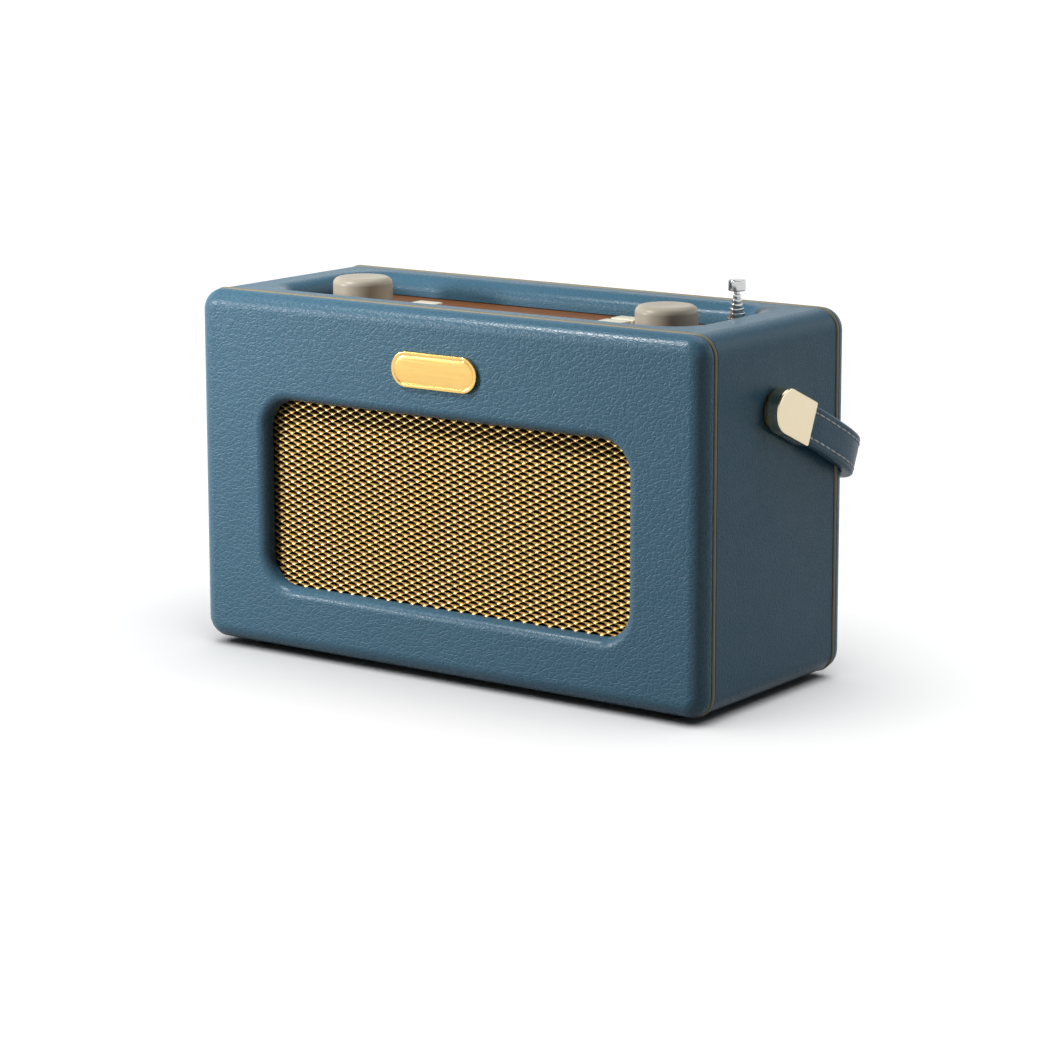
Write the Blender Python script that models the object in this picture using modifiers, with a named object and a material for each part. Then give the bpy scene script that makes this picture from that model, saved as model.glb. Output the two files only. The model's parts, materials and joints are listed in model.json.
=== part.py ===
"""Portable radio in a leathercloth case, built from separate pieces. Metres, +Z up.

The case frame has its origin in the middle of the case's underside, with -Y to the front.
One empty carries that frame, so that the whole radio stands on its feet over the origin.
"""

import math

import bmesh
import bpy
from mathutils import Vector

MM = 0.001

# Clearances
FIT = 0.3 * MM
RUN = 0.3 * MM

# Case
CASE_WIDTH = 250 * MM
CASE_DEPTH = 106 * MM
CASE_HEIGHT = 148 * MM
CASE_CORNER = 9 * MM
SIDE_WALL = 7 * MM
CAVITY_CORNER = 2 * MM
FRONT_EDGE = 7.2 * MM
FRONT_PLUG = 4 * MM
FRONT_PLUG_WALL = 4 * MM
REAR_EDGE = 7.2 * MM
REAR_PLUG = 5 * MM
PIPING_DIAMETER = 1.6 * MM
PIPING_PROUD = 0.4 * MM

# Grille opening in the front panel
OPENING_WIDTH = 180 * MM
OPENING_HEIGHT = 78.2 * MM
OPENING_BOTTOM = 26.5 * MM
OPENING_CORNER = 13 * MM
OPENING_ROLL = 4.5 * MM
RECESS_DEPTH = 6 * MM
GRILLE_LIP = 4 * MM
GRILLE_THICKNESS = 1 * MM
GRILLE_COLUMNS = 17
GRILLE_ROWS = 8
GRILLE_OPEN_SHARE = 0.8
BAFFLE_THICKNESS = 6 * MM

# Plaque on the front panel
PLAQUE_WIDTH = 42 * MM
PLAQUE_HEIGHT = 14.4 * MM
PLAQUE_THICKNESS = 1.2 * MM
PLAQUE_X = -1.1 * MM
PLAQUE_Z = 124 * MM

# Loudspeaker
SPEAKER_RADIUS = 39 * MM
SPEAKER_FLANGE = 2 * MM
SPEAKER_DEPTH = 22 * MM
SPEAKER_RIM = 5 * MM
CONE_DEPTH = 15 * MM
CONE_THICKNESS = 1.2 * MM
BASKET_WALL = 1.5 * MM
BASKET_FOOT_RADIUS = 21 * MM
BASKET_HOLE_RADIUS = 8 * MM
MAGNET_RADIUS = 20 * MM
MAGNET_LENGTH = 11 * MM

# Control bay in the top
BAY_SIDE_RIM = 25 * MM
BAY_FRONT_RIM = 23.1 * MM
BAY_REAR_RIM = 22.5 * MM
BAY_CORNER = 13 * MM
BAY_ROLL = 7 * MM
BAY_DEPTH = 9 * MM
PLATE_LIP = 4 * MM
PLATE_THICKNESS = 2 * MM
BOARD_DROP = 8 * MM
BOARD_THICKNESS = 1.6 * MM
BOARD_WIDTH = 52 * MM
BOARD_ANTENNA_GAP = 2.8 * MM
POST_RADIUS = 2.5 * MM
POST_INSET = 4 * MM

# Knobs and encoders
KNOB_DIAMETER = 25 * MM
KNOB_HEIGHT = 11.4 * MM
KNOB_LIFT = 1 * MM
KNOB_EDGE = 3 * MM
KNOB_DISH = 0.5 * MM
KNOB_BORE_DEPTH = 8.5 * MM
KNOB_INSET = 24 * MM
KNOB_FORWARD = 4.5 * MM
SHAFT_RADIUS = 3 * MM
ENCODER_SIDE = 12 * MM

# Buttons
BUTTON_LENGTH = 12 * MM
BUTTON_WIDTH = 8 * MM
BUTTON_LIFT = 2 * MM
BUTTON_TRAVEL = 0.9 * MM
BUTTON_FLANGE = 1 * MM
BUTTON_FLANGE_X = 1.2 * MM
BUTTON_FLANGE_Y = 0.4 * MM
BUTTON_EDGE = 0.6 * MM
BUTTON_CORNER = 0.9 * MM
BUTTON_STEM = 4 * MM
BUTTON_STEM_LENGTH = 2.7 * MM
BUTTON_PITCH = 10.2 * MM
BUTTON_REAR_GAP = 7.6 * MM
BUTTON_KNOB_GAP = 5 * MM
BUTTON_DISPLAY_GAP = 8 * MM
LEFT_BUTTONS = 3
RIGHT_BUTTONS = 4
SWITCH_SIDE = 6 * MM

# Display
DISPLAY_LENGTH = 56 * MM
DISPLAY_WIDTH = 32 * MM
DISPLAY_FORWARD = 5.3 * MM
DISPLAY_CORNER = 2 * MM
DISPLAY_FRAME = 1.5 * MM
WINDOW_THICKNESS = 1.5 * MM

# Telescopic antenna
ANTENNA_BEARING_DEGREES = 49.1
ANTENNA_GAP = 0.52 * MM
MAST_RADIUS = 3.75 * MM
MAST_TOP = 144.7 * MM
ANTENNA_STEP = 0.44 * MM
ANTENNA_WALL = 0.2 * MM
ANTENNA_SECTIONS = 5
COLLAR_RISE = 1.85 * MM
ANTENNA_FLOOR = 5 * MM
ANTENNA_FLOOR_STEP = 2 * MM
TIP_RADIUS = 3.5 * MM
TIP_HEIGHT = 4.5 * MM
TIP_EDGE = 0.8 * MM
GUIDE_WALL = 0.65 * MM
GUIDE_FLANGE_RADIUS = 5.6 * MM
GUIDE_FLANGE = 1 * MM

# Strap handle
PIVOT_Y = -3 * MM
PIVOT_Z = 114.3 * MM
HANDLE_REST_DEGREES = 23.5
HANDLE_REST_GAP = 0.4 * MM
CAP_RADIUS = 9 * MM
CAP_LENGTH = 19 * MM
CAP_THICKNESS = 6 * MM
CAP_SLOT_DEPTH = 12 * MM
STRAP_WIDTH = 16 * MM
STRAP_THICKNESS = 4 * MM
STRAP_BEND = 16 * MM
BUSH_RADIUS = 5 * MM
BUSH_BORE = 2.7 * MM
BUSH_FLANGE_RADIUS = 8 * MM
BUSH_FLANGE = 1 * MM
BUSH_TAIL = 0.5 * MM
PIVOT_SHANK = 2.3 * MM
PIVOT_HEAD_RADIUS = 4.5 * MM
PIVOT_HEAD = 2 * MM
PIVOT_GRIP = 4 * MM

# Back plate, battery and sockets
BACK_WIDTH = 160 * MM
BACK_HEIGHT = 61 * MM
BACK_BOTTOM = 18 * MM
BACK_CORNER = 5 * MM
BACK_THICKNESS = 1.4 * MM
DOOR_WIDTH = 110 * MM
DOOR_MARGIN = 4 * MM
DOOR_CORNER = 1.5 * MM
TONGUE_WIDTH = 80 * MM
KNUCKLE_RADIUS = 1.6 * MM
HINGE_PIN_RADIUS = 0.6 * MM
EAR_LENGTH = 5 * MM
EAR_OVERLAP = 2 * MM
TRAY_WALL = 2 * MM
TRAY_DEPTH = 27 * MM
PACK_MARGIN = 3 * MM
PACK_LENGTH = 31 * MM
PACK_CORNER = 6 * MM
MAIN_BOARD_MARGIN = 1 * MM
SCREW_INSET_X = 7 * MM
SCREW_INSET_Z = 11 * MM
SCREW_HEAD_RADIUS = 3 * MM
SCREW_HEAD = 1.2 * MM
SCREW_SHANK = 1.4 * MM
SCREW_LENGTH = 5 * MM
SOCKET_BAND = 17 * MM
SOCKET_SCREW_GAP = 12.5 * MM
SOCKET_PITCH = 20 * MM
SOCKET_FLANGE_RADIUS = 5.5 * MM
SOCKET_FLANGE = 1 * MM
SOCKET_RADIUS = 3.7 * MM
HEADPHONE_BORE = 1.75 * MM
POWER_BORE = 1.7 * MM

# Feet
FOOT_RADIUS = 7 * MM
FOOT_DROP = 3 * MM
FOOT_INSET_X = 22 * MM
FOOT_INSET_Y = 18 * MM

# Fineness of round shapes
CORNER_STEPS = 5
SMALL_CORNER_STEPS = 2
EDGE_STEPS = 3
BEAD_SIDES = 8
ROUND_SIDES = 20
TUBE_SIDES = 16
SCREW_SIDES = 12

# Levels along the depth, front to rear
FRONT = -CASE_DEPTH / 2
REAR = CASE_DEPTH / 2
SEAM = PIPING_DIAMETER + 2 * FIT
SEAM_DEPTH = PIPING_DIAMETER - PIPING_PROUD + FIT
FRONT_LIP = FRONT + FRONT_EDGE
SLEEVE_FRONT = FRONT_LIP + SEAM
FRONT_INNER = SLEEVE_FRONT + FRONT_PLUG
REAR_LIP = REAR - REAR_EDGE
SLEEVE_REAR = REAR_LIP - SEAM
REBATE_FLOOR = FRONT + RECESS_DEPTH
PANEL_BACK = REBATE_FLOOR + GRILLE_THICKNESS + 2 * FIT
BAFFLE_FRONT = PANEL_BACK + FIT
BAFFLE_BACK = BAFFLE_FRONT + BAFFLE_THICKNESS
REAR_INNER = SLEEVE_REAR - REAR_PLUG
BACK_FACE = REAR - max(SCREW_HEAD, SOCKET_FLANGE) - 2 * FIT
BACK_MIDDLE = BACK_FACE - BACK_THICKNESS / 2
BACK_FLOOR = BACK_FACE - BACK_THICKNESS - FIT
HINGE_Y = BACK_FACE + FIT

# Levels along the height
TOP_WALL = BAY_DEPTH - FIT
CAVITY_TOP = CASE_HEIGHT - TOP_WALL
PLATE_TOP = CASE_HEIGHT - BAY_DEPTH
PLATE_BOTTOM = PLATE_TOP - PLATE_THICKNESS
BOARD_TOP = PLATE_BOTTOM - BOARD_DROP
OPENING_MIDDLE = OPENING_BOTTOM + OPENING_HEIGHT / 2
DOOR_BOTTOM = BACK_BOTTOM + DOOR_MARGIN
DOOR_HEIGHT = BACK_HEIGHT - DOOR_MARGIN - SOCKET_BAND
TRAY_TOP = DOOR_BOTTOM + DOOR_HEIGHT + TRAY_WALL
HINGE_Z = DOOR_BOTTOM + RUN + KNUCKLE_RADIUS
EAR_TOP = HINGE_Z + KNUCKLE_RADIUS + RUN

# The sockets lie beside the upper screw, midway between the door and the back plate's top.
SOCKET_Z = BACK_BOTTOM + BACK_HEIGHT - SOCKET_BAND / 2
SCREW_X = BACK_WIDTH / 2 - SCREW_INSET_X
POWER_X = SCREW_X - SCREW_HEAD_RADIUS - SOCKET_SCREW_GAP - SOCKET_FLANGE_RADIUS
HEADPHONE_X = POWER_X - SOCKET_PITCH

# The bay lies inside its rims, and the controls lie in it.
BAY_LENGTH = CASE_WIDTH - 2 * BAY_SIDE_RIM
BAY_WIDTH = CASE_DEPTH - BAY_FRONT_RIM - BAY_REAR_RIM
BAY_Y = (BAY_FRONT_RIM - BAY_REAR_RIM) / 2
KNOB_X = BAY_LENGTH / 2 - KNOB_INSET
KNOB_Y = BAY_Y - KNOB_FORWARD
DISPLAY_Y = BAY_Y - DISPLAY_FORWARD
LEFT_BUTTONS_X = KNOB_DIAMETER / 2 + BUTTON_KNOB_GAP + BUTTON_LENGTH / 2 - KNOB_X
RIGHT_BUTTONS_X = DISPLAY_LENGTH / 2 + BUTTON_DISPLAY_GAP + BUTTON_LENGTH / 2
RIGHT_BUTTONS_Y = BAY_Y + BAY_WIDTH / 2 - BUTTON_REAR_GAP - BUTTON_WIDTH / 2
LEFT_BUTTONS_Y = RIGHT_BUTTONS_Y - BUTTON_PITCH

# The antenna stands in the bay's rear right corner, clear of its wall, and the board ends short of it.
ANTENNA_OFFSET = BAY_CORNER - GUIDE_FLANGE_RADIUS - ANTENNA_GAP
ANTENNA_BEARING = math.radians(ANTENNA_BEARING_DEGREES)
ANTENNA_X = BAY_LENGTH / 2 - BAY_CORNER + ANTENNA_OFFSET * math.cos(ANTENNA_BEARING)
ANTENNA_Y = BAY_Y + BAY_WIDTH / 2 - BAY_CORNER + ANTENNA_OFFSET * math.sin(ANTENNA_BEARING)
GUIDE_RADIUS = MAST_RADIUS + RUN + GUIDE_WALL
BOARD_LENGTH = 2 * (ANTENNA_X - GUIDE_RADIUS - BOARD_ANTENNA_GAP)

# The strap lies behind the case at rest.
REST = math.radians(HANDLE_REST_DEGREES)
CAP_INNER_X = CASE_WIDTH / 2 + FIT + BUSH_FLANGE + RUN
STRAP_X = CAP_INNER_X + CAP_THICKNESS / 2


def strap_reach():
    """How far the strap's crosspiece lies from the pivot to clear the rear panel and its round edge."""
    inner = STRAP_BEND - STRAP_THICKNESS
    bend_x = STRAP_X + STRAP_THICKNESS / 2 - STRAP_BEND
    lean = STRAP_WIDTH / 2 * math.sin(REST)
    reaches = []
    for step in range(ROUND_SIDES + 1):
        angle = math.radians(90) * step / ROUND_SIDES
        x = CASE_WIDTH / 2 - REAR_EDGE * (1 - math.cos(angle))
        y = REAR - REAR_EDGE * (1 - math.sin(angle))
        across = max(x - bend_x, 0)
        room = math.sqrt((inner - HANDLE_REST_GAP) ** 2 - across**2)
        reaches.append((y - PIVOT_Y + lean) / math.cos(REST) + inner - room)
    return max(reaches)


STRAP_OUTER = strap_reach() + STRAP_THICKNESS

# The frame stands over the middle of the whole radio's footprint.
REACH_FRONT = FRONT - FIT - PLAQUE_THICKNESS
REACH_REAR = PIVOT_Y + STRAP_OUTER * math.cos(REST) + STRAP_WIDTH / 2 * math.sin(REST)
FRAME_Y = -(REACH_FRONT + REACH_REAR) / 2

# Turns of a flat outline or a turned shape into its place
FACE_FRONT = (math.radians(90), 0, 0)
FACE_RIGHT = (0, math.radians(90), 0)
FACE_LEFT = (0, math.radians(-90), 0)
FACE_SIDE_ALONG_ARM = (math.radians(90), 0, math.radians(90))

LEATHER = ("leathercloth", (0.08, 0.17, 0.25), 0.6, 0.0)
GOLD = ("gold", (0.83, 0.62, 0.27), 0.3, 1.0)
PALE_GOLD = ("pale_gold", (0.80, 0.70, 0.50), 0.3, 1.0)
BRONZE = ("bronze", (0.30, 0.14, 0.06), 0.4, 0.6)
PUTTY = ("putty_plastic", (0.68, 0.61, 0.51), 0.5, 0.0)
CREAM = ("cream_plastic", (0.95, 0.92, 0.80), 0.4, 0.0)
CHROME = ("chrome", (0.80, 0.80, 0.82), 0.12, 1.0)
BLACK = ("black_plastic", (0.02, 0.02, 0.02), 0.5, 0.0)
GLASS = ("dark_window", (0.01, 0.01, 0.012), 0.08, 0.0)
BOARD = ("circuit_board", (0.03, 0.20, 0.08), 0.5, 0.0)
FIBRE = ("fibreboard", (0.12, 0.08, 0.05), 0.8, 0.0)
PAPER = ("paper_cone", (0.05, 0.05, 0.05), 0.9, 0.0)
STEEL = ("steel", (0.60, 0.60, 0.62), 0.35, 1.0)
BRASS = ("brass", (0.75, 0.55, 0.25), 0.35, 1.0)
RUBBER = ("rubber", (0.03, 0.03, 0.03), 0.9, 0.0)
BATTERY = ("battery_wrap", (0.12, 0.12, 0.14), 0.5, 0.0)


def clear_scene():
    for old in list(bpy.data.objects):
        bpy.data.objects.remove(old, do_unlink=True)


def new_collection(name):
    made = bpy.data.collections.new(name)
    bpy.context.scene.collection.children.link(made)
    return made


def new_empty(name, parent, location, rotation=(0, 0, 0)):
    empty = bpy.data.objects.new(name, None)
    empty.location = location
    empty.rotation_euler = rotation
    empty.parent = parent
    PARTS.objects.link(empty)
    return empty


def finish_of(finish):
    name, colour, roughness, metallic = finish
    known = bpy.data.materials.get(name)
    if known:
        return known
    made = bpy.data.materials.new(name)
    made.use_nodes = True
    shader = made.node_tree.nodes["Principled BSDF"]
    shader.inputs["Base Color"].default_value = (*colour, 1)
    shader.inputs["Roughness"].default_value = roughness
    shader.inputs["Metallic"].default_value = metallic
    return made


def place(name, mesh, finish, location=(0, 0, 0), rotation=(0, 0, 0), parent=None):
    """A named piece in the case frame, or a cutter where it has no finish."""
    piece = bpy.data.objects.new(name, mesh)
    piece.parent = parent or FRAME
    piece.location = location
    piece.rotation_euler = rotation
    if finish:
        mesh.materials.append(finish_of(finish))
        PARTS.objects.link(piece)
        return piece
    piece.hide_render = True
    piece.display_type = "WIRE"
    CUTTERS.objects.link(piece)
    return piece


def to_mesh(name, shape):
    mesh = bpy.data.meshes.new(name)
    shape.to_mesh(mesh)
    shape.free()
    mesh.shade_smooth()
    mesh.set_sharp_from_angle(angle=math.radians(35))
    return mesh


def arc(centre, radius, start, end, steps):
    """Points along an arc, angles in degrees."""
    points = []
    for step in range(steps + 1):
        angle = math.radians(start + (end - start) * step / steps)
        points.append((centre[0] + radius * math.cos(angle), centre[1] + radius * math.sin(angle)))
    return points


def rounded_rect(half_a, half_b, radius, centre=(0, 0), steps=CORNER_STEPS):
    """A rectangle's outline with round corners, counter-clockwise."""
    points = []
    for quarter, (side_a, side_b) in enumerate(((1, 1), (-1, 1), (-1, -1), (1, -1))):
        corner = (centre[0] + side_a * (half_a - radius), centre[1] + side_b * (half_b - radius))
        points += arc(corner, radius, 90 * quarter, 90 * quarter + 90, steps)
    return points


def circle(radius, centre=(0, 0), sides=ROUND_SIDES):
    return arc(centre, radius, 0, 360, sides)[:-1]


def at_depth(outline, y):
    return [Vector((a, y, b)) for a, b in outline]


def at_height(outline, z):
    return [Vector((a, b, z)) for a, b in outline]


def loft(name, loops, ring=False):
    """A skin over loops of equal counts: closed with caps, or from the last loop back to the first."""
    shape = bmesh.new()
    rows = [[shape.verts.new(point) for point in loop] for loop in loops]
    pairs = list(zip(rows, rows[1:]))
    if ring:
        pairs.append((rows[-1], rows[0]))
    else:
        shape.faces.new(rows[0])
        shape.faces.new(rows[-1])
    count = len(rows[0])
    for low, high in pairs:
        for i in range(count):
            j = (i + 1) % count
            shape.faces.new((low[i], low[j], high[j], high[i]))
    bmesh.ops.recalc_face_normals(shape, faces=shape.faces)
    return to_mesh(name, shape)


def box(name, size, centre=(0, 0, 0)):
    shape = bmesh.new()
    bmesh.ops.create_cube(shape, size=1)
    bmesh.ops.scale(shape, verts=shape.verts, vec=size)
    bmesh.ops.translate(shape, verts=shape.verts, vec=centre)
    return to_mesh(name, shape)


def cylinder(name, radius, low, high, sides=ROUND_SIDES):
    shape = bmesh.new()
    bmesh.ops.create_cone(
        shape, cap_ends=True, segments=sides, radius1=radius, radius2=radius, depth=high - low
    )
    bmesh.ops.translate(shape, verts=shape.verts, vec=(0, 0, (low + high) / 2))
    return to_mesh(name, shape)


def turned(name, profile, finish, sides=ROUND_SIDES, ring=False, **where):
    """A profile of (radius, height), down its outer side, spun with a Screw modifier."""
    shape = bmesh.new()
    points = [shape.verts.new((radius, 0, height)) for radius, height in profile]
    for first, second in zip(points, points[1:]):
        shape.edges.new((first, second))
    if ring:
        shape.edges.new((points[-1], points[0]))
    mesh = bpy.data.meshes.new(name)
    shape.to_mesh(mesh)
    shape.free()
    piece = place(name, mesh, finish, **where)
    screw = piece.modifiers.new("turn", "SCREW")
    screw.steps = sides
    screw.render_steps = sides
    screw.use_merge_vertices = True
    screw.merge_threshold = 0.00001
    screw.use_smooth_shade = True
    return piece


def flat_outline(name, outline, thickness, holes=()):
    """A flat sheet with holes, as a filled curve made into a mesh."""
    curve = bpy.data.curves.new(name, "CURVE")
    curve.dimensions = "2D"
    curve.fill_mode = "BOTH"
    curve.extrude = thickness / 2
    for loop in (outline, *holes):
        spline = curve.splines.new("POLY")
        spline.points.add(len(loop) - 1)
        for point, (a, b) in zip(spline.points, loop):
            point.co = (a, b, 0, 1)
        spline.use_cyclic_u = True
    drawn = bpy.data.objects.new(name, curve)
    CUTTERS.objects.link(drawn)
    drawn.hide_render = True
    bpy.context.view_layer.update()
    mesh = bpy.data.meshes.new_from_object(drawn.evaluated_get(bpy.context.evaluated_depsgraph_get()))
    mesh.name = name
    bpy.data.objects.remove(drawn)
    bpy.data.curves.remove(curve)
    shape = bmesh.new()
    shape.from_mesh(mesh)
    bmesh.ops.remove_doubles(shape, verts=shape.verts, dist=0.000001)
    bmesh.ops.recalc_face_normals(shape, faces=shape.faces)
    shape.to_mesh(mesh)
    shape.free()
    return mesh


def boolean(piece, other, operation):
    step = piece.modifiers.new(operation.lower(), "BOOLEAN")
    step.operation = operation
    step.object = other


def case_outline(inset):
    """The case's front view, drawn in by an inset."""
    radius = max(CASE_CORNER - inset, CAVITY_CORNER)
    half = (CASE_WIDTH / 2 - inset, CASE_HEIGHT / 2 - inset)
    return rounded_rect(*half, radius, (0, CASE_HEIGHT / 2))


def cavity_outline(inset):
    """The hollow in the sleeve, which has a thicker wall at its top."""
    low = SIDE_WALL + inset
    high = CAVITY_TOP - inset
    half = (CASE_WIDTH / 2 - SIDE_WALL - inset, (high - low) / 2)
    return rounded_rect(*half, CAVITY_CORNER, (0, (low + high) / 2))


def opening_outline(grow):
    half = (OPENING_WIDTH / 2 + grow, OPENING_HEIGHT / 2 + grow)
    return rounded_rect(*half, OPENING_CORNER + grow, (0, OPENING_MIDDLE))


def bay_outline(grow):
    half = (BAY_LENGTH / 2 + grow, BAY_WIDTH / 2 + grow)
    return rounded_rect(*half, BAY_CORNER + grow, (0, BAY_Y))


def back_outline(inset):
    half = (BACK_WIDTH / 2 - inset, BACK_HEIGHT / 2 - inset)
    return rounded_rect(*half, BACK_CORNER - inset, (0, BACK_BOTTOM + BACK_HEIGHT / 2))


def door_outline(grow):
    half = (DOOR_WIDTH / 2 + grow, DOOR_HEIGHT / 2 + grow)
    return rounded_rect(*half, DOOR_CORNER + max(grow, 0), (0, DOOR_BOTTOM + DOOR_HEIGHT / 2))


def button_places():
    places = []
    for side, x, rear_y, count in (
        ("left", LEFT_BUTTONS_X, LEFT_BUTTONS_Y, LEFT_BUTTONS),
        ("right", RIGHT_BUTTONS_X, RIGHT_BUTTONS_Y, RIGHT_BUTTONS),
    ):
        for row in range(count):
            places.append((f"button_{side}_{row + 1}", x, rear_y - row * BUTTON_PITCH))
    return places


def screw_places():
    low = BACK_BOTTOM + SCREW_INSET_Z
    high = BACK_BOTTOM + BACK_HEIGHT - SCREW_INSET_Z
    return [(x, z) for x in (-SCREW_X, SCREW_X) for z in (low, high)]


def socket_places():
    return (("headphone_socket", HEADPHONE_X, HEADPHONE_BORE), ("power_socket", POWER_X, POWER_BORE))


def roll_steps(radius):
    """Pairs of outward growth and rise along a round-over, from its wall to its rim."""
    pairs = []
    for step in range(1, EDGE_STEPS + 1):
        angle = math.radians(90) * step / EDGE_STEPS
        pairs.append((radius * (1 - math.cos(angle)), radius * math.sin(angle)))
    return pairs


def make_sleeve():
    loops = [
        at_depth(case_outline(0), SLEEVE_FRONT),
        at_depth(case_outline(0), SLEEVE_REAR),
        at_depth(cavity_outline(0), SLEEVE_REAR),
        at_depth(cavity_outline(0), SLEEVE_FRONT),
    ]
    sleeve = place("cabinet_sleeve", loft("cabinet_sleeve", loops, ring=True), LEATHER)
    walls = [at_height(bay_outline(0), CAVITY_TOP - FIT)]
    walls.append(at_height(bay_outline(0), CASE_HEIGHT - BAY_ROLL))
    for grow, rise in roll_steps(BAY_ROLL):
        walls.append(at_height(bay_outline(grow), CASE_HEIGHT - BAY_ROLL + rise))
    walls.append(at_height(bay_outline(BAY_ROLL), CASE_HEIGHT + FIT))
    boolean(sleeve, place("bay_cutter", loft("bay_cutter", walls), None), "DIFFERENCE")
    for side, turn in ((1, FACE_RIGHT), (-1, FACE_LEFT)):
        hole = cylinder("bush_cutter", BUSH_RADIUS + FIT, -SIDE_WALL - FIT, FIT)
        where = (side * CASE_WIDTH / 2, PIVOT_Y, PIVOT_Z)
        boolean(sleeve, place("bush_cutter", hole, None, where, turn), "DIFFERENCE")


def make_front_panel():
    """A face with a round edge, a rolled opening, and a rim that enters the sleeve."""
    loops = [at_depth(case_outline(FRONT_EDGE), FRONT)]
    for grow, rise in reversed(roll_steps(FRONT_EDGE)[:-1]):
        loops.append(at_depth(case_outline(grow), FRONT_LIP - rise))
    shoulder = SLEEVE_FRONT - FIT
    rim_inner = FIT + FRONT_PLUG_WALL
    loops.append(at_depth(case_outline(0), FRONT_LIP))
    loops.append(at_depth(case_outline(SEAM_DEPTH), FRONT_LIP))
    loops.append(at_depth(case_outline(SEAM_DEPTH), shoulder))
    loops.append(at_depth(cavity_outline(FIT), shoulder))
    loops.append(at_depth(cavity_outline(FIT), FRONT_INNER))
    loops.append(at_depth(cavity_outline(rim_inner), FRONT_INNER))
    loops.append(at_depth(cavity_outline(rim_inner), PANEL_BACK))
    loops.append(at_depth(opening_outline(GRILLE_LIP), PANEL_BACK))
    loops.append(at_depth(opening_outline(GRILLE_LIP), REBATE_FLOOR))
    loops.append(at_depth(opening_outline(0), REBATE_FLOOR))
    loops.append(at_depth(opening_outline(0), FRONT + OPENING_ROLL))
    for grow, rise in roll_steps(OPENING_ROLL):
        loops.append(at_depth(opening_outline(grow), FRONT + OPENING_ROLL - rise))
    place("front_panel", loft("front_panel", loops, ring=True), LEATHER)


def make_rear_panel():
    """A face with a round edge, a shallow seat for the back plate and the battery opening."""
    loops = [at_depth(case_outline(REAR_EDGE), REAR)]
    for grow, rise in reversed(roll_steps(REAR_EDGE)[:-1]):
        loops.append(at_depth(case_outline(grow), REAR_LIP + rise))
    shoulder = SLEEVE_REAR + FIT
    loops.append(at_depth(case_outline(0), REAR_LIP))
    loops.append(at_depth(case_outline(SEAM_DEPTH), REAR_LIP))
    loops.append(at_depth(case_outline(SEAM_DEPTH), shoulder))
    loops.append(at_depth(cavity_outline(FIT), shoulder))
    loops.append(at_depth(cavity_outline(FIT), REAR_INNER))
    loops.append(at_depth(door_outline(0), REAR_INNER))
    loops.append(at_depth(door_outline(0), BACK_FLOOR))
    loops.append(at_depth(back_outline(0), BACK_FLOOR))
    loops.append(at_depth(back_outline(0), REAR))
    panel = place("rear_panel", loft("rear_panel", loops, ring=True), LEATHER)
    for x, z in screw_places():
        hole = cylinder("screw_cutter", SCREW_SHANK + FIT, 0, SCREW_LENGTH + FIT, SCREW_SIDES)
        boolean(panel, place("screw_cutter", hole, None, (x, BACK_FACE, z), FACE_FRONT), "DIFFERENCE")
    for _, x, _ in socket_places():
        hole = cylinder("socket_cutter", SOCKET_RADIUS + FIT, -FIT, REAR - REAR_INNER + FIT)
        boolean(panel, place("socket_cutter", hole, None, (x, REAR, SOCKET_Z), FACE_FRONT), "DIFFERENCE")


def make_piping():
    radius = PIPING_DIAMETER / 2
    for name, y in (("front_piping", FRONT_LIP + SEAM / 2), ("rear_piping", REAR_LIP - SEAM / 2)):
        loops = []
        for across, along in circle(radius, sides=BEAD_SIDES):
            loops.append(at_depth(case_outline(radius - PIPING_PROUD - across), y + along))
        place(name, loft(name, loops, ring=True), GOLD)


def inside_opening(x, z):
    """Whether a point lies in the rounded opening."""
    reach_x = max(abs(x) - (OPENING_WIDTH / 2 - OPENING_CORNER), 0)
    reach_z = max(abs(z - OPENING_MIDDLE) - (OPENING_HEIGHT / 2 - OPENING_CORNER), 0)
    return math.hypot(reach_x, reach_z) < OPENING_CORNER


def make_grille():
    """Expanded metal: diamond gaps in columns, every second column moved by half a row."""
    pitch_x = OPENING_WIDTH / GRILLE_COLUMNS
    pitch_z = OPENING_HEIGHT / GRILLE_ROWS
    half_x = GRILLE_OPEN_SHARE * pitch_x
    half_z = GRILLE_OPEN_SHARE * pitch_z / 2
    gaps = []
    for column in range(GRILLE_COLUMNS):
        x = (column + 0.5) * pitch_x - OPENING_WIDTH / 2
        for row in range(GRILLE_ROWS + 1):
            z = OPENING_BOTTOM + (row + 0.5 * (column % 2)) * pitch_z
            gap = [(x + half_x, z), (x, z + half_z), (x - half_x, z), (x, z - half_z)]
            if all(inside_opening(*point) for point in gap):
                gaps.append(gap)
    outline = opening_outline(GRILLE_LIP - FIT)
    sheet = flat_outline("speaker_grille", outline, GRILLE_THICKNESS, gaps)
    place("speaker_grille", sheet, GOLD, (0, REBATE_FLOOR + FIT + GRILLE_THICKNESS / 2, 0), FACE_FRONT)


def make_baffle():
    outline = cavity_outline(FRONT_PLUG_WALL + 2 * FIT)
    hole = circle(SPEAKER_RADIUS - SPEAKER_RIM, (0, OPENING_MIDDLE))
    sheet = flat_outline("baffle_board", outline, BAFFLE_THICKNESS, [hole])
    place("baffle_board", sheet, FIBRE, (0, BAFFLE_FRONT + BAFFLE_THICKNESS / 2, 0), FACE_FRONT)


def make_plaque():
    outline = rounded_rect(PLAQUE_WIDTH / 2, PLAQUE_HEIGHT / 2, PLAQUE_HEIGHT / 2 - FIT)
    sheet = flat_outline("badge_plate", outline, PLAQUE_THICKNESS)
    where = (PLAQUE_X, FRONT - FIT - PLAQUE_THICKNESS / 2, PLAQUE_Z)
    place("badge_plate", sheet, GOLD, where, FACE_FRONT)


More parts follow.
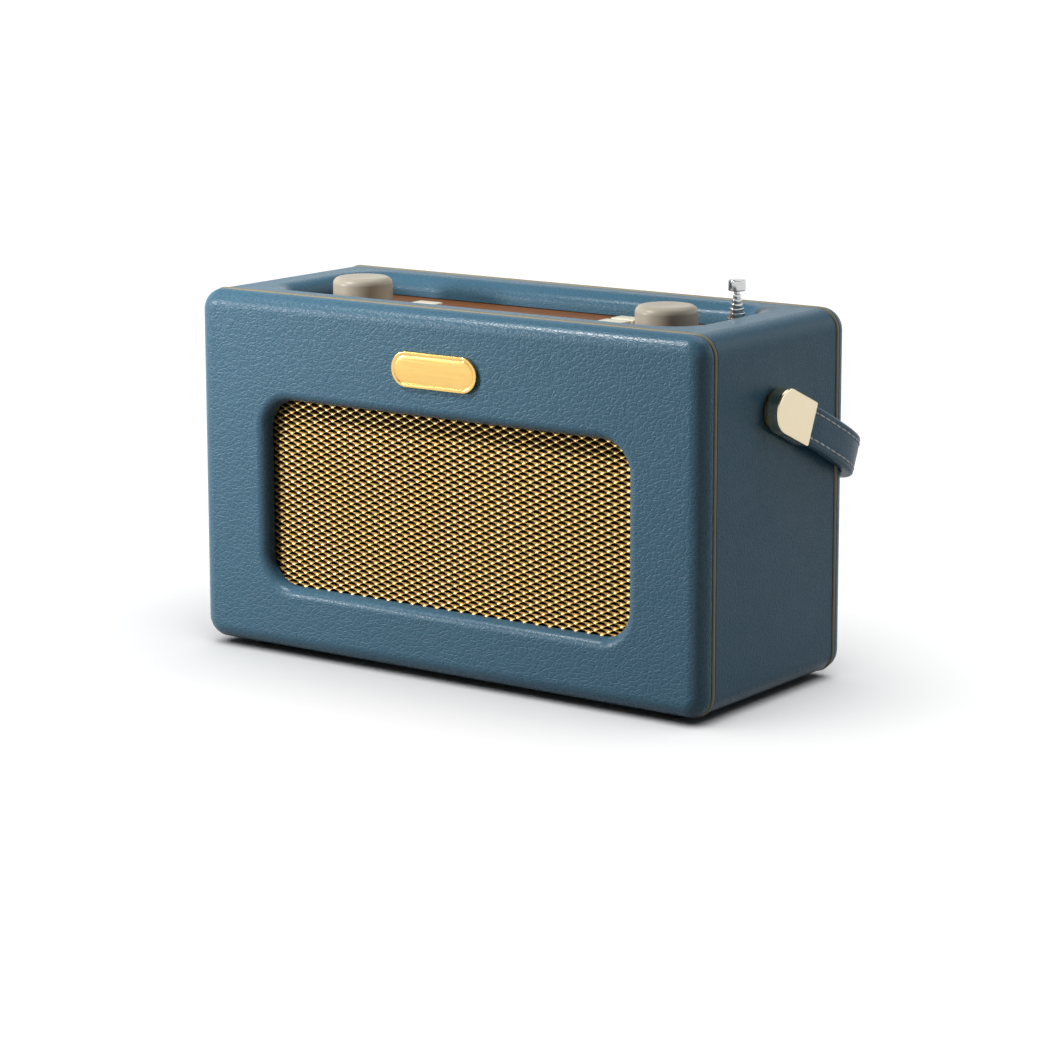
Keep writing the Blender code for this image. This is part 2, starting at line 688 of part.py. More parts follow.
def make_speaker():
    """Basket, cone and magnet, turned about the speaker's axis with the front upwards."""
    where = dict(location=(0, BAFFLE_BACK + FIT, OPENING_MIDDLE), rotation=FACE_FRONT)
    mouth = SPEAKER_RADIUS - SPEAKER_RIM
    basket = [
        (SPEAKER_RADIUS, 0),
        (SPEAKER_RADIUS, -SPEAKER_FLANGE),
        (mouth + BASKET_WALL, -SPEAKER_FLANGE),
        (BASKET_FOOT_RADIUS + BASKET_WALL, -SPEAKER_DEPTH),
        (BASKET_HOLE_RADIUS, -SPEAKER_DEPTH),
        (BASKET_HOLE_RADIUS, BASKET_WALL - SPEAKER_DEPTH),
        (BASKET_FOOT_RADIUS, BASKET_WALL - SPEAKER_DEPTH),
        (mouth, 0),
    ]
    turned("speaker_frame", basket, STEEL, ring=True, **where)
    rim = mouth - CONE_THICKNESS - FIT
    cone = [
        (0, -CONE_DEPTH),
        (BASKET_HOLE_RADIUS, -CONE_DEPTH),
        (rim, 0),
        (rim, -CONE_THICKNESS),
        (BASKET_HOLE_RADIUS, -CONE_DEPTH - CONE_THICKNESS),
        (0, -CONE_DEPTH - CONE_THICKNESS),
    ]
    turned("speaker_cone", cone, PAPER, **where)
    low = -SPEAKER_DEPTH - FIT - MAGNET_LENGTH
    magnet = cylinder("speaker_magnet", MAGNET_RADIUS, low, low + MAGNET_LENGTH)
    place("speaker_magnet", magnet, STEEL, **where)


def make_control_plate():
    holes = [circle(SHAFT_RADIUS + RUN, (side * KNOB_X, KNOB_Y)) for side in (-1, 1)]
    holes.append(circle(GUIDE_RADIUS + FIT, (ANTENNA_X, ANTENNA_Y)))
    half_button = (BUTTON_LENGTH / 2 + RUN, BUTTON_WIDTH / 2 + RUN)
    for _, x, y in button_places():
        holes.append(rounded_rect(*half_button, BUTTON_CORNER + RUN, (x, y), SMALL_CORNER_STEPS))
    half_display = (DISPLAY_LENGTH / 2, DISPLAY_WIDTH / 2)
    holes.append(rounded_rect(*half_display, DISPLAY_CORNER, (0, DISPLAY_Y), SMALL_CORNER_STEPS))
    sheet = flat_outline("control_plate", bay_outline(PLATE_LIP), PLATE_THICKNESS, holes)
    place("control_plate", sheet, BRONZE, (0, 0, PLATE_TOP - PLATE_THICKNESS / 2))


def make_display():
    half = (DISPLAY_LENGTH / 2 - FIT, DISPLAY_WIDTH / 2 - FIT)
    outline = rounded_rect(*half, DISPLAY_CORNER, steps=SMALL_CORNER_STEPS)
    window = flat_outline("display_window", outline, WINDOW_THICKNESS)
    middle = PLATE_BOTTOM + WINDOW_THICKNESS / 2
    place("display_window", window, GLASS, (0, DISPLAY_Y, middle))
    low = BOARD_TOP + FIT
    high = PLATE_BOTTOM - FIT
    size = (DISPLAY_LENGTH + 2 * DISPLAY_FRAME, DISPLAY_WIDTH + 2 * DISPLAY_FRAME, high - low)
    module = box("display_module", size)
    place("display_module", module, BLACK, (0, DISPLAY_Y, (low + high) / 2))


def make_control_board():
    """The board under the plate, with its posts and switch blocks joined on."""
    size = (BOARD_LENGTH, BOARD_WIDTH, BOARD_THICKNESS)
    sink = BOARD_THICKNESS / 2
    board = place("control_board", box("control_board", size), BOARD, (0, BAY_Y, BOARD_TOP - sink))
    post_x = BOARD_LENGTH / 2 - POST_INSET
    post_y = BOARD_WIDTH / 2 - POST_INSET
    for x in (-post_x, post_x):
        for y in (-post_y, post_y):
            post = cylinder("board_post", POST_RADIUS, BOARD_TOP - sink, PLATE_BOTTOM - FIT, SCREW_SIDES)
            boolean(board, place("board_post", post, None, (x, BAY_Y + y, 0)), "UNION")
    stem_end = PLATE_BOTTOM - RUN - BUTTON_FLANGE - BUTTON_STEM_LENGTH
    top = stem_end - BUTTON_TRAVEL - FIT
    for _, x, y in button_places():
        height = top - BOARD_TOP + sink
        block = box("switch_block", (SWITCH_SIDE, SWITCH_SIDE, height))
        boolean(board, place("switch_block", block, None, (x, y, top - height / 2)), "UNION")


def make_encoders_and_knobs():
    radius = KNOB_DIAMETER / 2
    bottom = PLATE_TOP + KNOB_LIFT
    bore = SHAFT_RADIUS + FIT
    edge = arc((radius - KNOB_EDGE, KNOB_HEIGHT - KNOB_EDGE), KNOB_EDGE, 90, 0, EDGE_STEPS)
    profile = [(0, KNOB_HEIGHT - KNOB_DISH), *edge, (radius, 0), (bore, 0)]
    profile += [(bore, KNOB_BORE_DEPTH), (0, KNOB_BORE_DEPTH)]
    low = BOARD_TOP + FIT
    high = PLATE_BOTTOM - FIT
    for side, x in (("left", -KNOB_X), ("right", KNOB_X)):
        body = box(f"encoder_{side}", (ENCODER_SIDE, ENCODER_SIDE, high - low))
        place(f"encoder_{side}", body, STEEL, (x, KNOB_Y, (low + high) / 2))
        shaft_length = bottom + KNOB_BORE_DEPTH - FIT - PLATE_BOTTOM
        shaft = cylinder(f"encoder_shaft_{side}", SHAFT_RADIUS, 0, shaft_length)
        place(f"encoder_shaft_{side}", shaft, STEEL, (x, KNOB_Y, PLATE_BOTTOM))
        turned(f"knob_{side}", profile, PUTTY, location=(x, KNOB_Y, bottom))


def button_shape(name):
    """Stem, flange and cap in one moulding, from its lower end to its top."""
    stem = BUTTON_STEM / 2
    cap = (BUTTON_LENGTH / 2, BUTTON_WIDTH / 2)
    flange = (cap[0] + BUTTON_FLANGE_X, cap[1] + BUTTON_FLANGE_Y)
    flange_top = PLATE_BOTTOM - RUN - PLATE_TOP
    flange_low = flange_top - BUTTON_FLANGE
    sizes = [
        (stem, stem, flange_low - BUTTON_STEM_LENGTH),
        (stem, stem, flange_low),
        (*flange, flange_low),
        (*flange, flange_top),
        (*cap, flange_top),
        (*cap, BUTTON_LIFT - BUTTON_EDGE),
        (cap[0] - BUTTON_EDGE, cap[1] - BUTTON_EDGE, BUTTON_LIFT),
    ]
    loops = []
    for half_x, half_y, z in sizes:
        outline = rounded_rect(half_x, half_y, BUTTON_CORNER, steps=SMALL_CORNER_STEPS)
        loops.append(at_height(outline, z))
    return loft(name, loops)


def make_buttons():
    for name, x, y in button_places():
        place(name, button_shape(name), CREAM, (x, y, PLATE_TOP))


def make_antenna():
    """A guide tube through the plate, and tubes that slide in one another."""
    axis = dict(location=(ANTENNA_X, ANTENNA_Y, 0), sides=TUBE_SIDES)
    bore = MAST_RADIUS + RUN
    floor = SIDE_WALL + ANTENNA_FLOOR
    rim = PLATE_TOP + FIT + GUIDE_FLANGE
    guide_low = floor - ANTENNA_FLOOR_STEP
    guide = [
        (GUIDE_FLANGE_RADIUS, rim),
        (GUIDE_FLANGE_RADIUS, PLATE_TOP + FIT),
        (GUIDE_RADIUS, PLATE_TOP + FIT),
        (GUIDE_RADIUS, guide_low),
        (bore, guide_low),
        (bore, rim),
    ]
    turned("antenna_guide", guide, BLACK, ring=True, **axis)
    for section in range(ANTENNA_SECTIONS + 1):
        name = f"antenna_section_{section}" if section else "antenna_mast"
        outer = MAST_RADIUS - section * ANTENNA_STEP
        inner = outer - ANTENNA_WALL
        top = MAST_TOP + section * COLLAR_RISE
        low = floor + section * ANTENNA_FLOOR_STEP
        turned(name, [(outer, top), (outer, low), (inner, low), (inner, top)], CHROME, ring=True, **axis)
    rod = MAST_RADIUS - (ANTENNA_SECTIONS + 1) * ANTENNA_STEP
    low = floor + (ANTENNA_SECTIONS + 1) * ANTENNA_FLOOR_STEP
    tip_low = MAST_TOP + ANTENNA_SECTIONS * COLLAR_RISE + FIT + COLLAR_RISE / 2
    tip_top = tip_low + TIP_HEIGHT
    edge = arc((TIP_RADIUS - TIP_EDGE, tip_top - TIP_EDGE), TIP_EDGE, 90, 0, EDGE_STEPS)
    tip = [(0, tip_top), *edge, (TIP_RADIUS, tip_low), (rod, tip_low), (rod, low), (0, low)]
    turned("antenna_tip", tip, CHROME, **axis)


def strap_outline():
    """A broad U: two arms along +Y and the crosspiece, with round bends."""
    outer_x = STRAP_X + STRAP_THICKNESS / 2
    inner_bend = STRAP_BEND - STRAP_THICKNESS
    bend_x = outer_x - STRAP_BEND
    bend_y = STRAP_OUTER - STRAP_BEND
    start = CAP_LENGTH - CAP_SLOT_DEPTH + FIT
    outside = [(outer_x, start), *arc((bend_x, bend_y), STRAP_BEND, 0, 90, CORNER_STEPS)]
    outside += [*arc((-bend_x, bend_y), STRAP_BEND, 90, 180, CORNER_STEPS), (-outer_x, start)]
    inner_x = outer_x - STRAP_THICKNESS
    inside = [(-inner_x, start), *arc((-bend_x, bend_y), inner_bend, 180, 90, CORNER_STEPS)]
    inside += [*arc((bend_x, bend_y), inner_bend, 90, 0, CORNER_STEPS), (inner_x, start)]
    return outside + inside


def make_handle():
    """Strap and caps hang on an empty that lies on the pivot's axis."""
    swing = new_empty("handle_pivot", FRAME, (0, PIVOT_Y, PIVOT_Z), (-REST, 0, 0))
    strap = flat_outline("handle_strap", strap_outline(), STRAP_WIDTH)
    place("handle_strap", strap, LEATHER, parent=swing)
    outline = arc((0, 0), CAP_RADIUS, 90, 270, 2 * CORNER_STEPS)
    outline += [(CAP_LENGTH, -CAP_RADIUS), (CAP_LENGTH, CAP_RADIUS)]
    bush_end = -SIDE_WALL - BUSH_TAIL
    cap_face = CAP_INNER_X - CASE_WIDTH / 2
    bush = [
        (BUSH_FLANGE_RADIUS, FIT + BUSH_FLANGE),
        (BUSH_FLANGE_RADIUS, FIT),
        (BUSH_RADIUS, FIT),
        (BUSH_RADIUS, bush_end),
        (BUSH_BORE, bush_end),
        (BUSH_BORE, FIT + BUSH_FLANGE),
    ]
    grip = cap_face + PIVOT_GRIP
    screw = [
        (0, grip),
        (PIVOT_SHANK, grip),
        (PIVOT_SHANK, bush_end - RUN),
        (PIVOT_HEAD_RADIUS, bush_end - RUN),
        (PIVOT_HEAD_RADIUS, bush_end - RUN - PIVOT_HEAD),
        (0, bush_end - RUN - PIVOT_HEAD),
    ]
    slot = (CAP_SLOT_DEPTH + FIT, STRAP_WIDTH + 2 * FIT, STRAP_THICKNESS + 2 * FIT)
    slot_middle = (CAP_LENGTH - CAP_SLOT_DEPTH / 2 + FIT / 2, 0, 0)
    for name, side, turn in (("left", -1, FACE_LEFT), ("right", 1, FACE_RIGHT)):
        wall = (side * CASE_WIDTH / 2, PIVOT_Y, PIVOT_Z)
        hub = (side * CASE_WIDTH / 2, 0, 0)
        turned(f"pivot_bush_{name}", bush, BRASS, ring=True, location=wall, rotation=turn)
        turned(f"pivot_screw_{name}", screw, STEEL, location=hub, rotation=turn, parent=swing)
        centre = (side * STRAP_X, 0, 0)
        sheet = flat_outline(f"handle_cap_{name}", outline, CAP_THICKNESS)
        cap = place(f"handle_cap_{name}", sheet, PALE_GOLD, centre, FACE_SIDE_ALONG_ARM, swing)
        pocket = box("strap_slot_cutter", slot, slot_middle)
        pocket = place("strap_slot_cutter", pocket, None, centre, FACE_SIDE_ALONG_ARM, swing)
        boolean(cap, pocket, "DIFFERENCE")
        bore = cylinder("pivot_cutter", PIVOT_SHANK + FIT, cap_face - FIT, grip + FIT)
        boolean(cap, place("pivot_cutter", bore, None, hub, turn, swing), "DIFFERENCE")


def make_back_plate():
    holes = [door_outline(0)]
    holes += [circle(SCREW_SHANK + FIT, at, SCREW_SIDES) for at in screw_places()]
    holes += [circle(SOCKET_RADIUS + FIT, (x, SOCKET_Z)) for _, x, _ in socket_places()]
    sheet = flat_outline("back_plate", back_outline(FIT), BACK_THICKNESS, holes)
    plate = place("back_plate", sheet, BLACK, (0, BACK_MIDDLE, 0), FACE_FRONT)
    inner = BACK_MIDDLE - BACK_THICKNESS / 2
    outer = HINGE_Y + KNUCKLE_RADIUS
    low = DOOR_BOTTOM - EAR_OVERLAP
    ear_x = TONGUE_WIDTH / 2 + RUN + EAR_LENGTH / 2
    for x in (-ear_x, ear_x):
        ear = box("hinge_ear", (EAR_LENGTH, outer - inner, EAR_TOP - low))
        middle = (x, (inner + outer) / 2, (low + EAR_TOP) / 2)
        boolean(plate, place("hinge_ear", ear, None, middle), "UNION")
    reach = ear_x + EAR_LENGTH
    bore = cylinder("ear_bore", HINGE_PIN_RADIUS + RUN, -reach, reach, SCREW_SIDES)
    boolean(plate, place("ear_bore", bore, None, (0, HINGE_Y, HINGE_Z), FACE_RIGHT), "DIFFERENCE")


def make_battery_door():
    """A T-shaped flap whose tongue ends in the hinge's knuckle, about the hinge's axis."""
    half = DOOR_WIDTH / 2 - RUN
    tongue = TONGUE_WIDTH / 2
    top = DOOR_BOTTOM + DOOR_HEIGHT - RUN - HINGE_Z
    step = math.hypot(KNUCKLE_RADIUS, EAR_TOP - HINGE_Z) + RUN
    shoulder = step + RUN
    root = HINGE_PIN_RADIUS + RUN
    outline = [(-tongue, root), (tongue, root), (tongue, step), (half, shoulder)]
    corner = (half - DOOR_CORNER, top - DOOR_CORNER)
    outline += arc(corner, DOOR_CORNER, 0, 90, SMALL_CORNER_STEPS)
    outline += arc((-corner[0], corner[1]), DOOR_CORNER, 90, 180, SMALL_CORNER_STEPS)
    outline += [(-half, shoulder), (-tongue, step)]
    sheet = flat_outline("battery_door", outline, BACK_THICKNESS)
    sunk = Vector((0, 0, HINGE_Y - BACK_MIDDLE))
    for vertex in sheet.vertices:
        vertex.co += sunk
    hinge = (0, HINGE_Y, HINGE_Z)
    door = place("battery_door", sheet, BLACK, hinge, FACE_FRONT)
    knuckle = cylinder("knuckle", KNUCKLE_RADIUS, RUN - tongue, tongue - RUN, SCREW_SIDES)
    boolean(door, place("knuckle", knuckle, None, hinge, FACE_RIGHT), "UNION")
    bore = cylinder("knuckle_bore", HINGE_PIN_RADIUS + RUN, -tongue - RUN, tongue + RUN, SCREW_SIDES)
    boolean(door, place("knuckle_bore", bore, None, hinge, FACE_RIGHT), "DIFFERENCE")
    reach = tongue + RUN + EAR_LENGTH
    pin = cylinder("door_hinge_pin", HINGE_PIN_RADIUS, -reach, reach, SCREW_SIDES)
    place("door_hinge_pin", pin, STEEL, hinge, FACE_RIGHT)


def make_battery():
    rim = REAR_INNER - FIT
    floor = rim - TRAY_DEPTH
    loops = [
        at_depth(door_outline(0), floor + TRAY_WALL),
        at_depth(door_outline(0), rim),
        at_depth(door_outline(TRAY_WALL), rim),
        at_depth(door_outline(TRAY_WALL), floor),
    ]
    place("battery_tray", loft("battery_tray", loops), BLACK)
    half = (DOOR_WIDTH / 2 - PACK_MARGIN, (DOOR_HEIGHT - PACK_MARGIN - FIT) / 2)
    middle = DOOR_BOTTOM + FIT + half[1]
    outline = rounded_rect(*half, PACK_CORNER, (0, middle))
    front = floor + TRAY_WALL + FIT
    pack = loft("battery_pack", [at_depth(outline, front), at_depth(outline, front + PACK_LENGTH)])
    place("battery_pack", pack, BATTERY)
    size = (DOOR_WIDTH, TRAY_DEPTH - 2 * MAIN_BOARD_MARGIN, BOARD_THICKNESS)
    middle = (0, (floor + rim) / 2, TRAY_TOP + FIT + BOARD_THICKNESS / 2)
    place("main_board", box("main_board", size), BOARD, middle)


def make_back_fittings():
    profile = [
        (0, SCREW_HEAD + FIT),
        (SCREW_HEAD_RADIUS, SCREW_HEAD + FIT),
        (SCREW_HEAD_RADIUS, FIT),
        (SCREW_SHANK, FIT),
        (SCREW_SHANK, FIT - SCREW_LENGTH),
        (0, FIT - SCREW_LENGTH),
    ]
    outwards = (math.radians(-90), 0, 0)
    for number, (x, z) in enumerate(screw_places(), 1):
        where = dict(location=(x, BACK_FACE, z), rotation=outwards)
        turned(f"back_screw_{number}", profile, STEEL, sides=SCREW_SIDES, **where)
    depth = REAR_INNER - BACK_FACE
    for name, x, bore in socket_places():
        ring = [
            (SOCKET_FLANGE_RADIUS, SOCKET_FLANGE + FIT),
            (SOCKET_FLANGE_RADIUS, FIT),
            (SOCKET_RADIUS, FIT),
            (SOCKET_RADIUS, depth),
            (bore, depth),
            (bore, SOCKET_FLANGE + FIT),
        ]
        turned(name, ring, STEEL, ring=True, location=(x, BACK_FACE, SOCKET_Z), rotation=outwards)


def make_feet():
    number = 0
    for x in (-1, 1):
        for y in (-1, 1):
            number += 1
            name = f"foot_{number}"
            where = (x * (CASE_WIDTH / 2 - FOOT_INSET_X), y * (CASE_DEPTH / 2 - FOOT_INSET_Y), 0)
            place(name, cylinder(name, FOOT_RADIUS, -FOOT_DROP, -FIT), RUBBER, where)


clear_scene()
PARTS = new_collection("portable_radio")
CUTTERS = new_collection("cutters")
FRAME = new_empty("case_frame", None, (0, FRAME_Y, FOOT_DROP))
make_sleeve()
make_front_panel()
make_rear_panel()
make_piping()
make_grille()
make_baffle()
make_plaque()
make_speaker()
make_control_plate()
make_display()
make_control_board()
make_encoders_and_knobs()
make_buttons()
make_antenna()
make_handle()
make_back_plate()
make_battery_door()
make_battery()
make_back_fittings()
make_feet()
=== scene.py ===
import json
import math

import bmesh
import bpy
from bpy.props import FloatProperty, FloatVectorProperty, IntProperty, PointerProperty
from mathutils import Matrix, Vector


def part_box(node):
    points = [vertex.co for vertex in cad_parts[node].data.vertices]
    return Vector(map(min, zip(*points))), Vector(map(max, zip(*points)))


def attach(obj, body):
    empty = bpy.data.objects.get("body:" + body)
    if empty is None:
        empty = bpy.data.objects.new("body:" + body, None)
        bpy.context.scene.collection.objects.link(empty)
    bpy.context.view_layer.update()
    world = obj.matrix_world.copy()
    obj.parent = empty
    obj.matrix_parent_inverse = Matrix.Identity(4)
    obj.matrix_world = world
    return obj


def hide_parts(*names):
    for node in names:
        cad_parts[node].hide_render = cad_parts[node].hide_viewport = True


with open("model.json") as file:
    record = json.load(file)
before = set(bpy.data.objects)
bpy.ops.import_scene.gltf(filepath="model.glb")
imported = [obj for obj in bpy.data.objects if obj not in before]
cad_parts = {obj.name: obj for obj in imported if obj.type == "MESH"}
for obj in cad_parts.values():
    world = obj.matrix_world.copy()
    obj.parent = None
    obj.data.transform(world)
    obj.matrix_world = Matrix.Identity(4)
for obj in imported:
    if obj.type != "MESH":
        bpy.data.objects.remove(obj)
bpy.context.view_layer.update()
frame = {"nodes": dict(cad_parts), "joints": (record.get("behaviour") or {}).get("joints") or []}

bl_info = {
    "name": "Leathercloth Portable Radio",
    "version": (1, 0, 0),
    "blender": (4, 5, 0),
    "location": "View3D > Sidebar > Radio",
    "description": "Dresses the packed portable radio in leathercloth, gold mesh and metal, on a stage",
    "category": "Add Mesh",
}

MM = 0.001


def size_of(node):
    low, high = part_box(node)
    return high - low


def place_of(node):
    """The middle of a solid, in the case's own frame."""
    low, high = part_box(node)
    return (low + high) / 2 - ORIGIN


def joint_place(name):
    """Where a joint's axis lies, in the case's own frame."""
    joint = next(j for j in frame["joints"] if j["name"] == name)
    return Vector(joint["pos_m"]) - ORIGIN


# The case's own frame: its origin lies in the middle of the case's underside, with -Y to the front.
SLEEVE_LOW, SLEEVE_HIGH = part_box("cabinet_sleeve")
FRONT_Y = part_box("front_panel")[0].y
REAR_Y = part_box("rear_panel")[1].y
ORIGIN = Vector((0, (FRONT_Y + REAR_Y) / 2, SLEEVE_LOW.z))

# Fits that the pieces share with the solids
FIT = 0.3 * MM
SEAM = 2.2 * MM
SEAM_DEPTH = 1.5 * MM
SIDE_WALL = 7 * MM
CAVITY_CORNER = 2 * MM
CAVITY_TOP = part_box("control_plate")[1].z - ORIGIN.z + FIT
PLUG = 4 * MM
REAR_PLUG = 5 * MM
GRILLE_LIP = 4 * MM
GRILLE_SEAT = 1.6 * MM
PLATE_LIP = 4 * MM
KNOB_HOLE = 3.3 * MM
MAST_HOLE = 5 * MM
BUSH_HOLE = 5.3 * MM
SOCKET_HOLE = 4 * MM
WINDOW_CORNER = 2 * MM
BACK_SEAT = 3.5 * MM
DOOR_CORNER = 1.5 * MM
KNUCKLE = 1.6 * MM
EAR_RISE = 1.9 * MM
REST = math.radians(23.5)
STRAP_REACH = 69.457 * MM
STITCH_DIP = 0.25 * MM
CAP_THICKNESS = 6 * MM
CAP_MIDDLE = size_of("handle_strap").x / 2 - 2 * MM
SLOT_DEPTH = 12 * MM

# Distances under which points count as one, and as lying on a turning axis
WELD = 0.001 * MM
ON_AXIS = 1e-9

# Where nearly all the values of a noise lie
NOISE_SPAN = (0.3, 0.7)

# Fineness of round shapes
CORNER_STEPS = 12
EDGE_STEPS = 12
LIP_STEPS = 4
BEAD_SIDES = 12
TURN_SIDES = 64
TUBE_SIDES = 40
ROUND_SIDES = 48
SMALL_SIDES = 32
PIN_SIDES = 24


def length(label, words, size):
    """A size that a user would change, in metres."""
    return FloatProperty(name=label, description=words, default=size, subtype="DISTANCE", precision=4)


def angle(label, words, degrees):
    return FloatProperty(name=label, description=words, default=math.radians(degrees), subtype="ANGLE")


def tint(label, words, colour):
    return FloatVectorProperty(
        name=label, description=words, default=colour, subtype="COLOR", size=3, min=0, max=1
    )


def number(label, words, amount):
    return FloatProperty(name=label, description=words, default=amount)


def share(label, words, amount):
    return FloatProperty(name=label, description=words, default=amount, subtype="FACTOR", min=0, max=1)


class CaseSettings(bpy.types.PropertyGroup):
    """Sizes and colours of the covered case."""

    width: length("Width", "Case width", SLEEVE_HIGH.x - SLEEVE_LOW.x)
    depth: length("Depth", "Case depth over both panels", REAR_Y - FRONT_Y)
    height: length("Height", "Case height without the feet", SLEEVE_HIGH.z - SLEEVE_LOW.z)
    corner: length("Corner", "Corner radius seen from the front", 9 * MM)
    edge: length("Edge", "Round edge of the front and rear panels", 7.2 * MM)
    tuck: length("Tuck", "Radius where the covering turns in beside the piping", 0.6 * MM)
    opening_width: length("Opening width", "Grille opening, across", 180 * MM)
    opening_height: length("Opening height", "Grille opening, upright", 78.2 * MM)
    opening_bottom: length("Opening bottom", "Lower edge of the opening over the underside", 26.5 * MM)
    opening_corner: length("Opening corner", "Corner radius of the grille opening", 13 * MM)
    opening_roll: length("Opening roll", "Rolled edge of the grille opening", 4.5 * MM)
    recess: length("Recess", "How far the grille lies behind the front", 6 * MM)
    bay_length: length("Bay length", "Control bay, across", 200 * MM)
    bay_width: length("Bay width", "Control bay, front to rear", 60.4 * MM)
    bay_shift: length("Bay shift", "Control bay's middle behind the case's middle", 0.3 * MM)
    bay_corner: length("Bay corner", "Corner radius of the control bay", 13 * MM)
    bay_roll: length("Bay roll", "Rolled edge of the control bay", 7 * MM)
    colour: tint("Leathercloth", "Colour of the covering", (0.067, 0.156, 0.226))
    grain: length("Grain", "Size of the pebbled grain", 1.9 * MM)
    crease: length("Crease", "Spacing of the larger creases", 7 * MM)
    grain_depth: length("Grain depth", "Depth of the grain", 0.1 * MM)


class TrimSettings(bpy.types.PropertyGroup):
    """Sizes and colours of the gold trim."""

    piping: length("Piping", "Diameter of the piping", 1.6 * MM)
    piping_proud: length("Piping proud", "How far the piping stands out of its seam", 0.4 * MM)
    cell_width: length("Cell width", "Width of one cell of the expanded metal", 6.2 * MM)
    cell_height: length("Cell height", "Height of one cell of the expanded metal", 2.9 * MM)
    hole_width: length("Hole width", "Width of the gap in one cell", 4.6 * MM)
    hole_rise: length("Hole rise", "Height of the gap's upper arch over the cell's middle", 1.04 * MM)
    hole_drop: length("Hole drop", "Depth of the gap's ends under the cell's middle", 0.34 * MM)
    hole_belly: length("Hole belly", "Rise of the gap's lower edge over its ends", 0.22 * MM)
    strand_tilt: length("Strand tilt", "How far each strand leans from front to back", 0.3 * MM)
    knot_proud: length("Knot proud", "How far the knots stand before the strands", 0.12 * MM)
    strand_sheet: length("Strand sheet", "Sheet thickness of the expanded metal", 0.32 * MM)
    plaque_rim: length("Plaque rim", "Width of the plaque's raised rim", 1.3 * MM)
    plaque_sink: length("Plaque sink", "How far the plaque's field lies under its rim", 0.35 * MM)
    piping_colour: tint("Piping colour", "Colour of the piping", (0.27, 0.24, 0.16))
    mesh_colour: tint("Mesh colour", "Colour of the expanded metal", (0.25, 0.155, 0.05))
    plaque_colour: tint("Plaque colour", "Colour of the plaque", (0.84, 0.55, 0.18))


class ControlSettings(bpy.types.PropertyGroup):
    """Sizes and colours of the controls."""

    plate_thickness: length("Plate thickness", "Thickness of the control plate", 2 * MM)
    knob_edge: length("Knob edge", "Round top edge of the knobs", 3 * MM)
    knob_dish: length("Knob dish", "How far the knobs' tops are dished", 0.5 * MM)
    button_length: length("Button length", "Length of a button", 12 * MM)
    button_width: length("Button width", "Width of a button", 8 * MM)
    button_corner: length("Button corner", "Corner radius of a button", 0.9 * MM)
    button_edge: length("Button edge", "Round top edge of a button", 0.6 * MM)
    plate_colour: tint("Plate colour", "Colour of the control plate", (0.27, 0.10, 0.028))
    knob_colour: tint("Knob colour", "Colour of the knobs", (0.46, 0.415, 0.33))
    button_colour: tint("Button colour", "Colour of the buttons", (0.86, 0.80, 0.62))
    window_colour: tint("Window colour", "Colour of the display window", (0.012, 0.013, 0.017))
    chrome_colour: tint("Chrome colour", "Colour of the antenna", (0.55, 0.556, 0.554))


class HandleSettings(bpy.types.PropertyGroup):
    """Sizes and colours of the strap handle."""

    strap_width: length("Strap width", "Width of the strap", 16 * MM)
    strap_thickness: length("Strap thickness", "Thickness of the strap", 4 * MM)
    strap_bend: length("Strap bend", "Reach of the strap's soft bends along its arms", 32 * MM)
    strap_turn: length("Strap turn", "Reach of the strap's soft bends across", 20 * MM)
    strap_fullness: number("Fullness", "How far the bends fill their corners", 3.0)
    strap_slack: length("Strap slack", "How far the strap stands out past a tight one", 3.2 * MM)
    strap_sag: length("Strap sag", "How far the strap drops past its caps", 1.5 * MM)
    strap_padding: number("Padding", "Thickness past the caps over that in them", 1.25)
    strap_edge: length("Strap edge", "Round edges of the strap", 1.3 * MM)
    stitch_inset: length("Stitch inset", "Distance of the stitches from the strap's edges", 2.9 * MM)
    stitch_length: length("Stitch length", "Length of a stitch", 4.3 * MM)
    stitch_pitch: length("Stitch pitch", "Distance from stitch to stitch", 4.6 * MM)
    thread: length("Thread", "Thickness of the thread", 0.75 * MM)
    cap_radius: length("Cap radius", "Round end of the caps", 9 * MM)
    cap_length: length("Cap length", "Length of the caps from the pivot", 19 * MM)
    cap_bevel: length("Cap bevel", "Bevel round the caps' faces", 0.8 * MM)
    cap_colour: tint("Cap colour", "Colour of the caps", (0.70, 0.60, 0.42))
    thread_colour: tint("Thread colour", "Colour of the thread", (0.95, 0.95, 0.93))


class BackSettings(bpy.types.PropertyGroup):
    """Sizes and colours of the back plate and the feet."""

    back_width: length("Back width", "Width of the back plate's seat", 160 * MM)
    back_height: length("Back height", "Height of the back plate's seat", 61 * MM)
    back_bottom: length("Back bottom", "Lower edge of the seat over the underside", 18 * MM)
    back_corner: length("Back corner", "Corner radius of the seat", 5 * MM)
    door_width: length("Door width", "Width of the battery opening", 110 * MM)
    door_height: length("Door height", "Height of the battery opening", 40 * MM)
    door_bottom: length("Door bottom", "Lower edge of the battery opening over the underside", 22 * MM)
    sheet: length("Sheet", "Thickness of the back plate and the door", 1.4 * MM)
    rib_count: IntProperty(name="Ribs", description="Grip ribs on the battery door", default=7, min=1)
    rib_pitch: length("Rib pitch", "Distance from rib to rib", 2.6 * MM)
    rib_length: length("Rib length", "Length of a grip rib", 30 * MM)
    moulding_colour: tint("Moulding colour", "Colour of the black mouldings", (0.018, 0.018, 0.019))
    steel_colour: tint("Steel colour", "Colour of screws and sockets", (0.42, 0.42, 0.43))
    rubber_colour: tint("Rubber colour", "Colour of the feet", (0.022, 0.022, 0.022))


